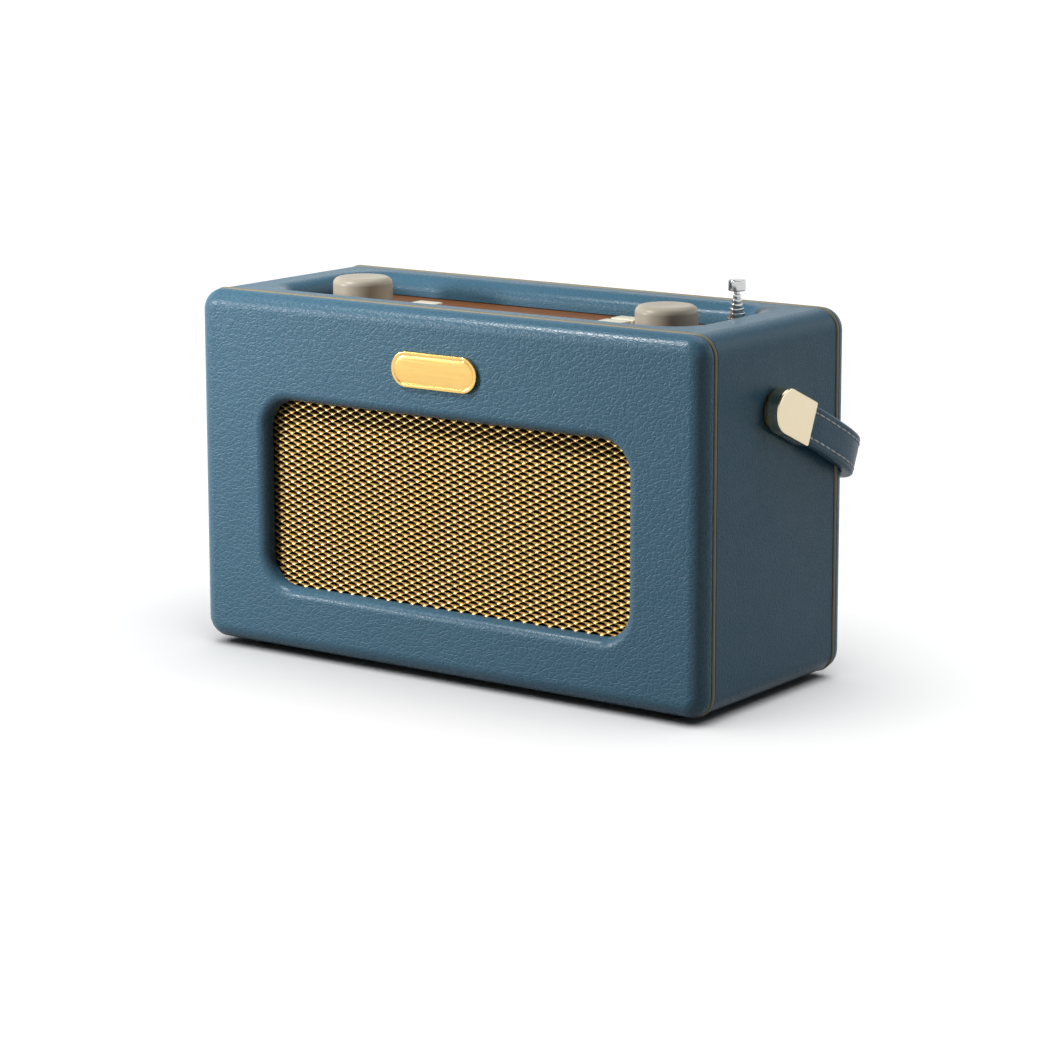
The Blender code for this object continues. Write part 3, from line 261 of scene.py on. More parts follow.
class StageSettings(bpy.types.PropertyGroup):
    """Camera, lamps and floor."""

    camera_place: FloatVectorProperty(
        name="Camera place", description="Camera in the case's frame", size=3, subtype="TRANSLATION",
        default=(0.78172, -1.07766, 0.32731),
    )
    camera_yaw: angle("Camera yaw", "Turn of the camera about the upright", 35.803)
    camera_pitch: angle("Camera pitch", "Downward tilt of the camera", 10.527)
    camera_roll: angle("Camera roll", "Turn of the camera about its own axis", -0.106)
    camera_lens: number("Lens", "Focal length in mm on a 36 mm frame", 113.239)
    camera_shift: number("Shift", "Upright lens shift", -0.06)
    key_level: number("Key", "Watts of the front left lamp", 3.0)
    edge_level: number("Edge", "Watts of the raised lamp for the upper edges", 3.7)
    key_size: length("Key size", "Diameter of the front lamps", 0.12)
    key_distance: length("Key distance", "Distance of the front lamps", 0.75)
    top_level: number("Top", "Strength of the overhead softbox", 1.0)
    floor_level: number("Floor", "Strength of the floor's softbox", 3.6)
    side_level: number("Side", "Strength of the right rear softbox", 0.6)
    sky_level: share("Sky", "Level of the studio's ceiling", 0.06)
    floor_return: share("Floor return", "Share of its light that the floor gives back", 0.1)
    floor_colour: tint("Floor colour", "Colour of the floor", (0.93, 0.93, 0.93))
    floor_spread: length("Floor spread", "Half width of the floor", 40)


SETTINGS = {
    "radio_case": CaseSettings,
    "radio_trim": TrimSettings,
    "radio_controls": ControlSettings,
    "radio_handle": HandleSettings,
    "radio_back": BackSettings,
    "radio_stage": StageSettings,
}


# Outlines


def arc(centre, radius, start, end, steps):
    """Points along an arc, angles in degrees."""
    points = []
    for step in range(steps + 1):
        turn = math.radians(start + (end - start) * step / steps)
        points.append((centre[0] + radius * math.cos(turn), centre[1] + radius * math.sin(turn)))
    return points


def rounded_rect(half_a, half_b, radius, centre=(0, 0), steps=CORNER_STEPS):
    """A rectangle's outline with round corners, counter-clockwise."""
    points = []
    for turn, (side_a, side_b) in enumerate(((1, 1), (-1, 1), (-1, -1), (1, -1))):
        corner = (centre[0] + side_a * (half_a - radius), centre[1] + side_b * (half_b - radius))
        points += arc(corner, radius, 90 * turn, 90 * turn + 90, steps)
    return points


def circle(radius, centre=(0, 0), sides=TURN_SIDES):
    return arc(centre, radius, 0, 360, sides)[:-1]


def at_depth(outline, y):
    return [Vector((a, y, b)) for a, b in outline]


def at_height(outline, z):
    return [Vector((a, b, z)) for a, b in outline]


def quarter(steps):
    """Pairs of cosine and sine along a quarter turn."""
    turns = [math.radians(90) * step / steps for step in range(steps + 1)]
    return [(math.cos(turn), math.sin(turn)) for turn in turns]


def case_outline(case, inset):
    radius = max(case.corner - inset, CAVITY_CORNER)
    half = (case.width / 2 - inset, case.height / 2 - inset)
    return rounded_rect(*half, radius, (0, case.height / 2))


def cavity_outline(case, inset):
    low = SIDE_WALL + inset
    high = CAVITY_TOP - inset
    half = (case.width / 2 - SIDE_WALL - inset, (high - low) / 2)
    return rounded_rect(*half, CAVITY_CORNER, (0, (low + high) / 2))


def opening_outline(case, grow):
    half = (case.opening_width / 2 + grow, case.opening_height / 2 + grow)
    middle = case.opening_bottom + case.opening_height / 2
    return rounded_rect(*half, case.opening_corner + grow, (0, middle))


def bay_outline(case, grow):
    half = (case.bay_length / 2 + grow, case.bay_width / 2 + grow)
    return rounded_rect(*half, case.bay_corner + grow, (0, case.bay_shift))


def back_outline(back, grow):
    half = (back.back_width / 2 + grow, back.back_height / 2 + grow)
    middle = back.back_bottom + back.back_height / 2
    return rounded_rect(*half, back.back_corner + grow, (0, middle))


def door_outline(back, grow):
    half = (back.door_width / 2 + grow, back.door_height / 2 + grow)
    return rounded_rect(*half, DOOR_CORNER, (0, back.door_bottom + back.door_height / 2))


def panel_rim(case, sleeve, way):
    """Loops of a panel's round edge, lip and seam. The way is -1 for the front and 1 for the rear."""
    lip = sleeve + way * SEAM
    loops = []
    for cosine, sine in quarter(EDGE_STEPS)[::-1]:
        y = lip + way * (case.tuck + (case.edge - case.tuck) * sine)
        loops.append(at_depth(case_outline(case, case.edge * (1 - cosine)), y))
    for cosine, sine in quarter(LIP_STEPS)[1:]:
        y = lip + way * case.tuck * (1 - sine)
        loops.append(at_depth(case_outline(case, case.tuck * (1 - cosine)), y))
    return loops + [at_depth(case_outline(case, SEAM_DEPTH), y) for y in (lip, sleeve + way * FIT)]


# Meshes


def to_mesh(name, shape):
    mesh = bpy.data.meshes.new(name)
    shape.to_mesh(mesh)
    shape.free()
    return mesh


def loft(name, loops, ring=False):
    """A skin over loops of equal counts: closed with caps, or from the last loop back to the first."""
    shape = bmesh.new()
    rows = [[shape.verts.new(point) for point in loop] for loop in loops]
    pairs = list(zip(rows, rows[1:]))
    if ring:
        pairs.append((rows[-1], rows[0]))
    else:
        shape.faces.new(rows[0])
        shape.faces.new(rows[-1])
    count = len(rows[0])
    for low, high in pairs:
        for i in range(count):
            j = (i + 1) % count
            shape.faces.new((low[i], low[j], high[j], high[i]))
    bmesh.ops.recalc_face_normals(shape, faces=shape.faces)
    return to_mesh(name, shape)


def turned(name, profile, sides=TURN_SIDES, ring=False):
    """A profile of (radius, height) spun about Z, closed at the axis or as a ring."""
    shape = bmesh.new()
    rows = []
    for radius, height in profile:
        if radius < ON_AXIS:
            rows.append([shape.verts.new((0, 0, height))])
        else:
            rows.append([shape.verts.new((a, b, height)) for a, b in circle(radius, sides=sides)])
    pairs = list(zip(rows, rows[1:]))
    if ring:
        pairs.append((rows[-1], rows[0]))
    for low, high in pairs:
        for i in range(sides):
            j = (i + 1) % sides
            corners = [low[i % len(low)], low[j % len(low)], high[j % len(high)], high[i % len(high)]]
            shape.faces.new(list(dict.fromkeys(corners)))
    bmesh.ops.recalc_face_normals(shape, faces=shape.faces)
    return to_mesh(name, shape)


def cuboid(name, size, centre=(0, 0, 0), bevel=0.0):
    shape = bmesh.new()
    bmesh.ops.create_cube(shape, size=1)
    bmesh.ops.scale(shape, verts=shape.verts, vec=size)
    bmesh.ops.translate(shape, verts=shape.verts, vec=centre)
    if bevel:
        bmesh.ops.bevel(
            shape, geom=shape.edges[:], offset=bevel, segments=3, profile=0.5, affect="EDGES"
        )
    return to_mesh(name, shape)


def baked(holder):
    """The evaluated mesh of a holder object, which is then removed."""
    bpy.context.view_layer.update()
    graph = bpy.context.evaluated_depsgraph_get()
    made = bpy.data.meshes.new_from_object(
        holder.evaluated_get(graph), preserve_all_data_layers=True, depsgraph=graph
    )
    if not made.polygons:
        raise RuntimeError(f"{holder.name} came out empty")
    bpy.data.objects.remove(holder)
    return made


def hold(name, data):
    holder = bpy.data.objects.new(name, data)
    bpy.context.scene.collection.objects.link(holder)
    return holder


def flat_plate(name, outline, thickness, holes=(), bevel=0.0):
    """A sheet with holes and eased edges, as a filled curve made into a mesh. It lies about z = 0."""
    curve = bpy.data.curves.new(name, "CURVE")
    curve.dimensions = "2D"
    curve.fill_mode = "BOTH"
    curve.extrude = thickness / 2 - bevel
    curve.bevel_depth = bevel
    curve.bevel_resolution = 2
    curve.offset = -bevel
    for loop in (outline, *[hole[::-1] for hole in holes]):
        spline = curve.splines.new("POLY")
        spline.points.add(len(loop) - 1)
        for point, (a, b) in zip(spline.points, loop):
            point.co = (a, b, 0, 1)
        spline.use_cyclic_u = True
    mesh = baked(hold(name, curve))
    bpy.data.curves.remove(curve)
    shape = bmesh.new()
    shape.from_mesh(mesh)
    bmesh.ops.remove_doubles(shape, verts=shape.verts, dist=WELD)
    bmesh.ops.recalc_face_normals(shape, faces=shape.faces)
    shape.to_mesh(mesh)
    shape.free()
    return mesh


def carved(mesh, cutters, operation="DIFFERENCE"):
    """The mesh after each of the other meshes is cut from it, or joined to it."""
    holder = hold("carved", mesh)
    tools = [hold("cutter", cutter) for cutter in cutters]
    for tool in tools:
        step = holder.modifiers.new("cut", "BOOLEAN")
        step.operation = operation
        step.solver = "EXACT"
        step.object = tool
    made = baked(holder)
    for tool in tools:
        bpy.data.objects.remove(tool)
    return made


def shaded(mesh, sharp=35):
    """Smooth shading that keeps sharp edges and flat faces flat."""
    mesh.shade_smooth()
    mesh.set_sharp_from_angle(angle=math.radians(sharp))
    holder = hold("shaded", mesh)
    step = holder.modifiers.new("even", "WEIGHTED_NORMAL")
    step.keep_sharp = True
    return baked(holder)


def taut_over_edges(mesh, lean=0.1):
    """Marks where a covering is pulled over an edge, by how far its normal leans from an axis."""
    taut = mesh.attributes.new("taut", "FLOAT", "POINT")
    flat = [max(abs(part) for part in vertex.normal) for vertex in mesh.vertices]
    taut.data.foreach_set("value", [min(1.0, (1 - part) / lean) for part in flat])
    return mesh


def moved(mesh, place=(0, 0, 0), turn=None):
    """The mesh turned, then put in its place."""
    matrix = Matrix.Translation(place)
    if turn is not None:
        matrix = matrix @ turn.to_4x4()
    mesh.transform(matrix)
    return mesh


def add_piece(name, mesh, finish, body, slot, *nodes):
    """Puts a mesh of the case's frame in the scene as a finished piece of a body."""
    mesh.transform(Matrix.Translation(ORIGIN))
    mesh.materials.clear()
    mesh.materials.append(finish)
    mesh.name = name
    piece = hold(name, mesh)
    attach(piece, body)
    if nodes:
        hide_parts(*nodes)
    return piece


# Turns from the XY plane, or from the Z axis, to where a piece faces
FACE_FRONT = Matrix.Rotation(math.radians(90), 3, "X")
FACE_REAR = Matrix.Rotation(math.radians(-90), 3, "X")
FACE_RIGHT = Matrix.Rotation(math.radians(90), 3, "Y")
FACE_LEFT = Matrix.Rotation(math.radians(-90), 3, "Y")
ALONG_ARM = Matrix.Rotation(math.radians(90), 3, "Z") @ Matrix.Rotation(math.radians(90), 3, "X")


def handle_frame():
    """From the handle's own frame, with its arms along +Y, to the case's frame at rest."""
    pivot = joint_place("handle_swing")
    return Matrix.Translation((0, pivot.y, pivot.z)) @ Matrix.Rotation(-REST, 4, "X")


# Geometry Nodes


class NodeTree:
    """One Geometry Nodes tree in the making, with named inputs for its sizes."""

    def __init__(self, name):
        self.tree = bpy.data.node_groups.new(name, "GeometryNodeTree")
        self.values = {}
        face = self.tree.interface
        face.new_socket("Geometry", in_out="INPUT", socket_type="NodeSocketGeometry")
        face.new_socket("Geometry", in_out="OUTPUT", socket_type="NodeSocketGeometry")
        self.entry = self.tree.nodes.new("NodeGroupInput")
        self.exit = self.tree.nodes.new("NodeGroupOutput")
        self.geometry = self.entry.outputs["Geometry"]

    def size(self, name, value, kind="NodeSocketFloat"):
        socket = self.tree.interface.new_socket(name, in_out="INPUT", socket_type=kind)
        self.values[socket.identifier] = value
        return self.entry.outputs[name]

    def add(self, kind, inputs=None, **settings):
        node = self.tree.nodes.new(kind)
        for key, value in settings.items():
            setattr(node, key, value)
        for key, value in (inputs or {}).items():
            if isinstance(value, bpy.types.NodeSocket):
                self.tree.links.new(value, node.inputs[key])
            else:
                node.inputs[key].default_value = value
        return node.outputs

    def math(self, operation, first, second=0.0):
        return self.add("ShaderNodeMath", {0: first, 1: second}, operation=operation)[0]

    def placed(self, points, shape):
        """A shape at each of the points."""
        inputs = {"Points": points, "Instance": shape}
        return self.add("GeometryNodeInstanceOnPoints", inputs)["Instances"]

    def finish(self, geometry, material):
        """Realizes what was placed, sets its material and leads it out."""
        finish = self.size("Finish", material, "NodeSocketMaterial")
        plain = self.add("GeometryNodeRealizeInstances", {"Geometry": geometry})["Geometry"]
        done = self.add("GeometryNodeSetMaterial", {"Geometry": plain, "Material": finish})["Geometry"]
        self.tree.links.new(done, self.exit.inputs["Geometry"])

    def grow(self, mesh):
        """The plain mesh that the tree makes from a starting mesh."""
        holder = hold(self.tree.name, mesh)
        step = holder.modifiers.new(self.tree.name, "NODES")
        step.node_group = self.tree
        for identifier, value in self.values.items():
            step[identifier] = value
        return baked(holder)


def four_places(name, mesh, size, centre, material):
    """One shape at the four corners of a rectangle in the XY plane."""
    tree = NodeTree(name)
    span = tree.add("GeometryNodeMeshGrid", {
        "Size X": tree.size("Span X", size[0]), "Size Y": tree.size("Span Y", size[1]),
        "Vertices X": 2, "Vertices Y": 2,
    })["Mesh"]
    shift = tree.add("GeometryNodeTransform", {
        "Geometry": span, "Translation": tree.size("Middle", Vector(centre), "NodeSocketVector"),
    })["Geometry"]
    tree.finish(tree.placed(shift, tree.geometry), material)
    return tree.grow(mesh)


# Finishes


class Finish:
    """One procedural material in the making. Its patterns lie in Object coordinates."""

    def __init__(self, name, **values):
        self.material = bpy.data.materials.new(name)
        self.material.use_nodes = True
        self.nodes = self.material.node_tree.nodes
        self.links = self.material.node_tree.links
        self.shader = self.nodes["Principled BSDF"]
        self.spot = self.nodes.new("ShaderNodeTexCoord").outputs["Object"]
        self.set(**values)

    def set(self, **values):
        for key, value in values.items():
            name = key.replace("_", " ").title().replace("Ior", "IOR")
            self.feed(self.shader.inputs[name], value)

    def feed(self, socket, value):
        if isinstance(value, bpy.types.NodeSocket):
            self.links.new(value, socket)
        else:
            socket.default_value = value

    def add(self, kind, inputs, **settings):
        node = self.nodes.new(kind)
        for key, value in settings.items():
            setattr(node, key, value)
        for key, value in inputs.items():
            self.feed(node.inputs[key], value)
        return node.outputs

    def attribute(self, name):
        return self.add("ShaderNodeAttribute", {}, attribute_name=name)["Fac"]

    def noise(self, size, detail=2.0, spot=None, part="Fac"):
        """Cloudy noise of about one feature in each size."""
        inputs = {"Vector": spot or self.spot, "Scale": 1 / size, "Detail": detail}
        return self.add("ShaderNodeTexNoise", inputs)[part]

    def cells(self, size, spot=None, feature="DISTANCE_TO_EDGE"):
        inputs = {"Vector": spot or self.spot, "Scale": 1 / size}
        return self.add("ShaderNodeTexVoronoi", inputs, feature=feature)["Distance"]

    def stretched(self, scale, spot=None, slant=0):
        """Coordinates turned about Y by some degrees and scaled."""
        turn = (0, math.radians(slant), 0)
        inputs = {"Vector": spot or self.spot, "Rotation": turn, "Scale": scale}
        return self.add("ShaderNodeMapping", inputs)[0]

    def wandering(self, size, reach):
        """Object coordinates pushed about by noise."""
        push = self.noise(size, 1.0, part="Color")
        push = self.add("ShaderNodeVectorMath", {0: push, 1: (0.5, 0.5, 0.5)}, operation="SUBTRACT")[0]
        push = self.add("ShaderNodeVectorMath", {0: push, "Scale": reach}, operation="SCALE")[0]
        return self.add("ShaderNodeVectorMath", {0: self.spot, 1: push}, operation="ADD")[0]

    def math(self, operation, first, second=0.0, third=0.0):
        return self.add("ShaderNodeMath", {0: first, 1: second, 2: third}, operation=operation)[0]

    def span(self, value, low, high, to_low=0.0, to_high=1.0):
        inputs = {"Value": value, "From Min": low, "From Max": high, "To Min": to_low, "To Max": to_high}
        return self.add("ShaderNodeMapRange", inputs, interpolation_type="SMOOTHSTEP")[0]

    def blend(self, amount, first, second):
        inputs = {0: amount, 6: (*first, 1) if isinstance(first, tuple) else first}
        inputs[7] = (*second, 1) if isinstance(second, tuple) else second
        return self.add("ShaderNodeMix", inputs, data_type="RGBA")[2]

    def shades(self, amount, colour, low, high):
        """A colour between two levels of itself."""
        return self.blend(amount, toned(colour, low), toned(colour, high))

    def bump(self, height, distance, strength=1.0, normal=None):
        inputs = {"Height": height, "Distance": distance, "Strength": strength}
        if normal:
            inputs["Normal"] = normal
        return self.add("ShaderNodeBump", inputs)[0]


def toned(colour, level):
    return tuple(min(1.0, part * level) for part in colour)


def leathercloth(name, colour, grain, crease, depth, roughness, specular):
    """Flat pebbles between fine wrinkles, with a few longer creases.

    Where a piece is marked taut, its grain lies flatter and shines more.
    """
    small_share, groove_share, fine_share = 0.42, 0.3, 0.03
    slack_grain, taut_grain, taut_gloss = 0.9, -0.62, -0.11
    drawn = (0.62, 1, 1)
    finish = Finish(name, specular_ior_level=specular)
    taut = finish.attribute("taut")
    spot = finish.wandering(size=grain * 1.8, reach=grain * 1.1)
    pebble = finish.cells(grain, finish.stretched(drawn, spot, slant=-20))
    pebble = finish.span(pebble, low=0.0, high=0.17)
    small = finish.cells(grain * 0.6, finish.stretched(drawn, spot))
    small = finish.span(small, low=0.0, high=0.3)
    height = finish.math("MULTIPLY_ADD", small, small_share, pebble)
    stray = finish.cells(crease, finish.wandering(size=crease * 0.7, reach=crease * 0.8))
    stray = finish.span(stray, low=0.0, high=0.1)
    patchy = finish.span(finish.noise(crease * 2, detail=1.0), low=0.4, high=0.6)
    groove = finish.math("MAXIMUM", stray, patchy)
    height = finish.math("MULTIPLY_ADD", groove, groove_share, height)
    fine = finish.math("MULTIPLY_ADD", finish.noise(grain * 0.35), fine_share, height)
    slack = finish.bump(finish.noise(22 * MM, detail=1.0), distance=0.4 * MM, strength=0.5)
    strength = finish.math("MULTIPLY_ADD", taut, taut_grain, slack_grain)
    finish.set(normal=finish.bump(fine, depth, strength, slack))
    body = finish.shades(finish.noise(28 * MM), colour, 0.92, 1.04)
    # The wrinkle lines are painted lighter, at 1.1 times the cloth's colour: a painted sheen along the
    # wrinkles
    painted_sheen_mask = finish.span(pebble, low=0.0, high=0.6)
    finish.set(base_color=finish.blend(painted_sheen_mask, toned(colour, 1.1), body))
    coat = finish.span(height, 0.2, 1.6, to_low=roughness + 0.08, to_high=roughness - 0.03)
    finish.set(roughness=finish.math("MULTIPLY_ADD", taut, taut_gloss, coat))
    return finish.material


def metal(name, colour, roughness, brush=None, wear=0.06):
    """Metal with faint clouds in its tone and fine marks in its gloss, drawn out along the brush."""
    finish = Finish(name, metallic=1.0)
    cloud = finish.noise(6 * MM, detail=3.0)
    finish.set(base_color=finish.shades(cloud, colour, 1 - wear, 1 + wear))
    marks = finish.noise(0.5 * MM, spot=finish.stretched(brush) if brush else None)
    finish.set(roughness=finish.span(marks, *NOISE_SPAN, roughness * 0.8, roughness * 1.25))
    finish.set(normal=finish.bump(marks, distance=0.01 * MM, strength=0.5))
    return finish.material


def moulding(name, colour, roughness, grain=0.35 * MM, depth=0.02 * MM, specular=0.4):
    """Moulded plastic or rubber with a fine even texture."""
    finish = Finish(name, specular_ior_level=specular)
    finish.set(base_color=finish.shades(finish.noise(9 * MM), colour, 0.93, 1.06))
    fine = finish.noise(grain)
    finish.set(roughness=finish.span(fine, *NOISE_SPAN, roughness - 0.06, roughness + 0.06))
    finish.set(normal=finish.bump(fine, depth, strength=0.6))
    return finish.material


def piping_cord(name, colour):
    """Satin gold plastic cord with a fine weave."""
    finish = Finish(name, metallic=0.2, specular_ior_level=0.2)
    weave = finish.noise(0.7 * MM)
    finish.set(base_color=finish.shades(weave, colour, 0.8, 1.15))
    finish.set(roughness=finish.span(weave, *NOISE_SPAN, 0.45, 0.58))
    finish.set(normal=finish.bump(weave, distance=0.05 * MM, strength=0.5))
    return finish.material


def gold_mesh(name, colour):
    """Anodised expanded metal, with painted highlights on its knots and painted shade towards its gaps.
    """
    # Painted highlight colour for the knots, where glints would fall
    bright = (0.9, 0.68, 0.32)
    # Painted shade colour for the gaps' edges: the metal's colour darkened to between a quarter and an
    # eighth
    dark = (colour[0] * 0.24, colour[1] * 0.18, colour[2] * 0.12)
    finish = Finish(name, metallic=1.0)
    rim = finish.attribute("rim")
    knot = finish.attribute("knot")
    body = finish.shades(finish.noise(5 * MM), colour, 0.9, 1.08)
    # The knots blend towards the painted highlight, and the gaps' edges towards the painted shade
    body = finish.blend(finish.span(knot, low=0.3, high=1.0), body, bright)
    finish.set(base_color=finish.blend(finish.span(rim, low=0.1, high=1.0), body, dark))
    finish.set(roughness=finish.span(finish.noise(0.6 * MM), *NOISE_SPAN, 0.4, 0.5))
    finish.set(normal=finish.bump(finish.noise(0.4 * MM), distance=0.02 * MM, strength=0.4))
    return finish.material


def brown_plate(name, colour):
    """Bronze lacquered plate with a fine lengthwise brush."""
    finish = Finish(name, specular_ior_level=0.1)
    marks = finish.noise(0.6 * MM, detail=3.0, spot=finish.stretched((0.03, 1, 1)))
    cloud = finish.noise(18 * MM, spot=finish.stretched((0.4, 1, 1)))
    body = finish.shades(cloud, colour, 0.8, 1.2)
    lines = finish.span(marks, low=0.35, high=0.65)
    finish.set(base_color=finish.blend(lines, toned(colour, 0.75), body))
    finish.set(roughness=finish.span(marks, *NOISE_SPAN, 0.3, 0.42))
    finish.set(normal=finish.bump(marks, distance=0.015 * MM, strength=0.5))
    return finish.material


def dark_window(name, colour):
    """Smoked display window with faint dots under its gloss."""
    finish = Finish(name, specular_ior_level=0.35)
    dots = finish.cells(0.9 * MM, feature="F1")
    glow = finish.span(dots, 0.2, 0.5, to_low=1.0, to_high=0.0)
    finish.set(base_color=finish.shades(glow, colour, 1.0, 1.7))
    smears = finish.noise(12 * MM, detail=3.0)
    finish.set(roughness=finish.span(smears, *NOISE_SPAN, 0.05, 0.11))
    return finish.material


def circuit_board(name):
    """Green board with paler lines for its tracks."""
    finish = Finish(name, specular_ior_level=0.5)
    tracks = finish.add("ShaderNodeTexBrick", {
        "Vector": finish.spot, "Scale": 120.0, "Color1": (0.016, 0.10, 0.04, 1),
        "Color2": (0.022, 0.14, 0.055, 1), "Mortar": (0.03, 0.22, 0.085, 1), "Mortar Size": 0.06,
    })["Color"]
    finish.set(base_color=tracks)
    finish.set(roughness=finish.span(finish.noise(4 * MM), *NOISE_SPAN, 0.35, 0.5))
    return finish.material


def fibre(name, colour, size):
    """Pressed fibre or paper."""
    finish = Finish(name, specular_ior_level=0.15)
    flecks = finish.noise(size, detail=4.0)
    spots = finish.span(flecks, low=0.35, high=0.65)
    finish.set(base_color=finish.shades(spots, colour, 0.6, 1.35))
    finish.set(roughness=finish.span(flecks, *NOISE_SPAN, 0.8, 0.95))
    finish.set(normal=finish.bump(flecks, distance=0.15 * MM, strength=0.6))
    return finish.material


def twisted_thread(name, colour):
    """Waxed thread with a slanting twist."""
    finish = Finish(name, specular_ior_level=0.3)
    twist = finish.add("ShaderNodeTexWave", {
        "Vector": finish.spot, "Scale": 260.0, "Distortion": 1.5, "Detail": 1.0,
    }, bands_direction="DIAGONAL")["Fac"]
    finish.set(base_color=finish.shades(twist, colour, 0.88, 1.05))
    finish.set(roughness=finish.span(twist, 0.2, 0.8, to_low=0.6, to_high=0.75))
    finish.set(normal=finish.bump(twist, distance=0.06 * MM, strength=0.6))
    return finish.material


FINISHES = {}


def finish_of(name, maker, *values, **named):
    """A finish by name, made once."""
    if name not in FINISHES:
        FINISHES[name] = maker(name, *values, **named)
    return FINISHES[name]


def covering(case):
    """The grained cloth of the front and rear panels."""
    cloth = (tuple(case.colour), case.grain, case.crease, case.grain_depth)
    return finish_of("leathercloth", leathercloth, *cloth, roughness=0.39, specular=0.22)


def smooth_covering(case):
    """The same cloth pulled tight, for the sleeve and the strap."""
    cloth = (tuple(case.colour), case.grain * 0.7, case.crease, case.grain_depth * 0.5)
    return finish_of("smooth_leathercloth", leathercloth, *cloth, roughness=0.31, specular=0.09)


def steel(back):
    return finish_of("plated_steel", metal, tuple(back.steel_colour), roughness=0.28)


def black_moulding(back):
    colour = tuple(back.moulding_colour)
    return finish_of("black_moulding", moulding, colour, roughness=0.48, grain=0.5 * MM, depth=0.05 * MM)


# Pieces


class RADIO_OT_case_wrap(bpy.types.Operator):
    """Covered sleeve with the rolled control bay in its top"""

    bl_idname = "radio.case_wrap"
    bl_label = "Case Wrap"

    def execute(self, context):
        case = context.scene.radio_case
        front = SLEEVE_LOW.y - ORIGIN.y
        rear = SLEEVE_HIGH.y - ORIGIN.y
        turns = quarter(LIP_STEPS)
        tuck = [(case.tuck * (1 - sine), case.tuck * (1 - cosine)) for cosine, sine in turns]
        loops = [at_depth(case_outline(case, inset), front + back) for inset, back in tuck]
        loops += [at_depth(case_outline(case, inset), rear - back) for inset, back in tuck[::-1]]
        loops += [at_depth(cavity_outline(case, 0), y) for y in (rear, front)]
        sleeve = loft("case_wrap", loops, ring=True)
        bottom = case.height - case.bay_roll
        walls = [at_height(bay_outline(case, 0), CAVITY_TOP - FIT)]
        for cosine, sine in quarter(EDGE_STEPS):
            grow = case.bay_roll * (1 - cosine)
            walls.append(at_height(bay_outline(case, grow), bottom + case.bay_roll * sine))
        walls.append(at_height(bay_outline(case, case.bay_roll), case.height + FIT))
        cutters = [loft("bay", walls)]
        pivot = joint_place("handle_swing")
        reach = SIDE_WALL + FIT
        profile = [(0, -reach), (BUSH_HOLE, -reach), (BUSH_HOLE, reach), (0, reach)]
        for side in (-1, 1):
            hole = turned("bush_hole", profile)
            cutters.append(moved(hole, (side * case.width / 2, pivot.y, pivot.z), FACE_RIGHT))
        mesh = taut_over_edges(shaded(carved(sleeve, cutters)))
        add_piece("case_wrap", mesh, smooth_covering(case), "radio", "leathercloth", "cabinet_sleeve")
        return {"FINISHED"}


class RADIO_OT_front_board(bpy.types.Operator):
    """Covered front panel with a round edge and the rolled grille opening"""

    bl_idname = "radio.front_board"
    bl_label = "Front Panel"

    def execute(self, context):
        case = context.scene.radio_case
        front = FRONT_Y - ORIGIN.y
        sleeve = SLEEVE_LOW.y - ORIGIN.y
        plug = sleeve + PLUG
        floor = front + case.recess
        back = floor + GRILLE_SEAT
        loops = panel_rim(case, sleeve, -1)
        for inset, y in ((FIT, sleeve - FIT), (FIT, plug), (FIT + PLUG, plug), (FIT + PLUG, back)):
            loops.append(at_depth(cavity_outline(case, inset), y))
        for grow, y in ((GRILLE_LIP, back), (GRILLE_LIP, floor), (0, floor)):
            loops.append(at_depth(opening_outline(case, grow), y))
        for cosine, sine in quarter(EDGE_STEPS):
            grow = case.opening_roll * (1 - cosine)
            loops.append(at_depth(opening_outline(case, grow), front + case.opening_roll * (1 - sine)))
        mesh = taut_over_edges(shaded(loft("front_board", loops, ring=True)))
        add_piece("front_board", mesh, covering(case), "radio", "leathercloth", "front_panel")
        return {"FINISHED"}


class RADIO_OT_rear_board(bpy.types.Operator):
    """Covered rear panel with a round edge and the seat of the back plate"""

    bl_idname = "radio.rear_board"
    bl_label = "Rear Panel"

    def execute(self, context):
        case = context.scene.radio_case
        back = context.scene.radio_back
        rear = REAR_Y - ORIGIN.y
        sleeve = SLEEVE_HIGH.y - ORIGIN.y
        floor = rear - BACK_SEAT
        inner = sleeve - REAR_PLUG
        ease = 0.8 * MM
        loops = panel_rim(case, sleeve, 1)
        loops += [at_depth(cavity_outline(case, FIT), y) for y in (sleeve + FIT, inner)]
        loops += [at_depth(door_outline(back, 0), y) for y in (inner, floor)]
        loops.append(at_depth(back_outline(back, 0), floor))
        for cosine, sine in quarter(LIP_STEPS):
            loops.append(at_depth(back_outline(back, ease * (1 - cosine)), rear - ease * (1 - sine)))
        mesh = taut_over_edges(shaded(loft("rear_board", loops, ring=True)))
        add_piece("rear_board", mesh, covering(case), "radio", "leathercloth", "rear_panel")
        skin = 0.12 * MM
        edges = ((-2 * skin, inner), (-2 * skin, floor + skin))
        loops = [at_depth(door_outline(back, grow), y) for grow, y in edges]
        loops += [at_depth(back_outline(back, -skin), y) for y in (floor + skin, floor - skin)]
        edges = ((skin, floor - skin), (skin, inner))
        loops += [at_depth(door_outline(back, grow), y) for grow, y in edges]
        lining = shaded(loft("seat_lining", loops, ring=True))
        add_piece("seat_lining", lining, black_moulding(back), "radio", "black")
        return {"FINISHED"}


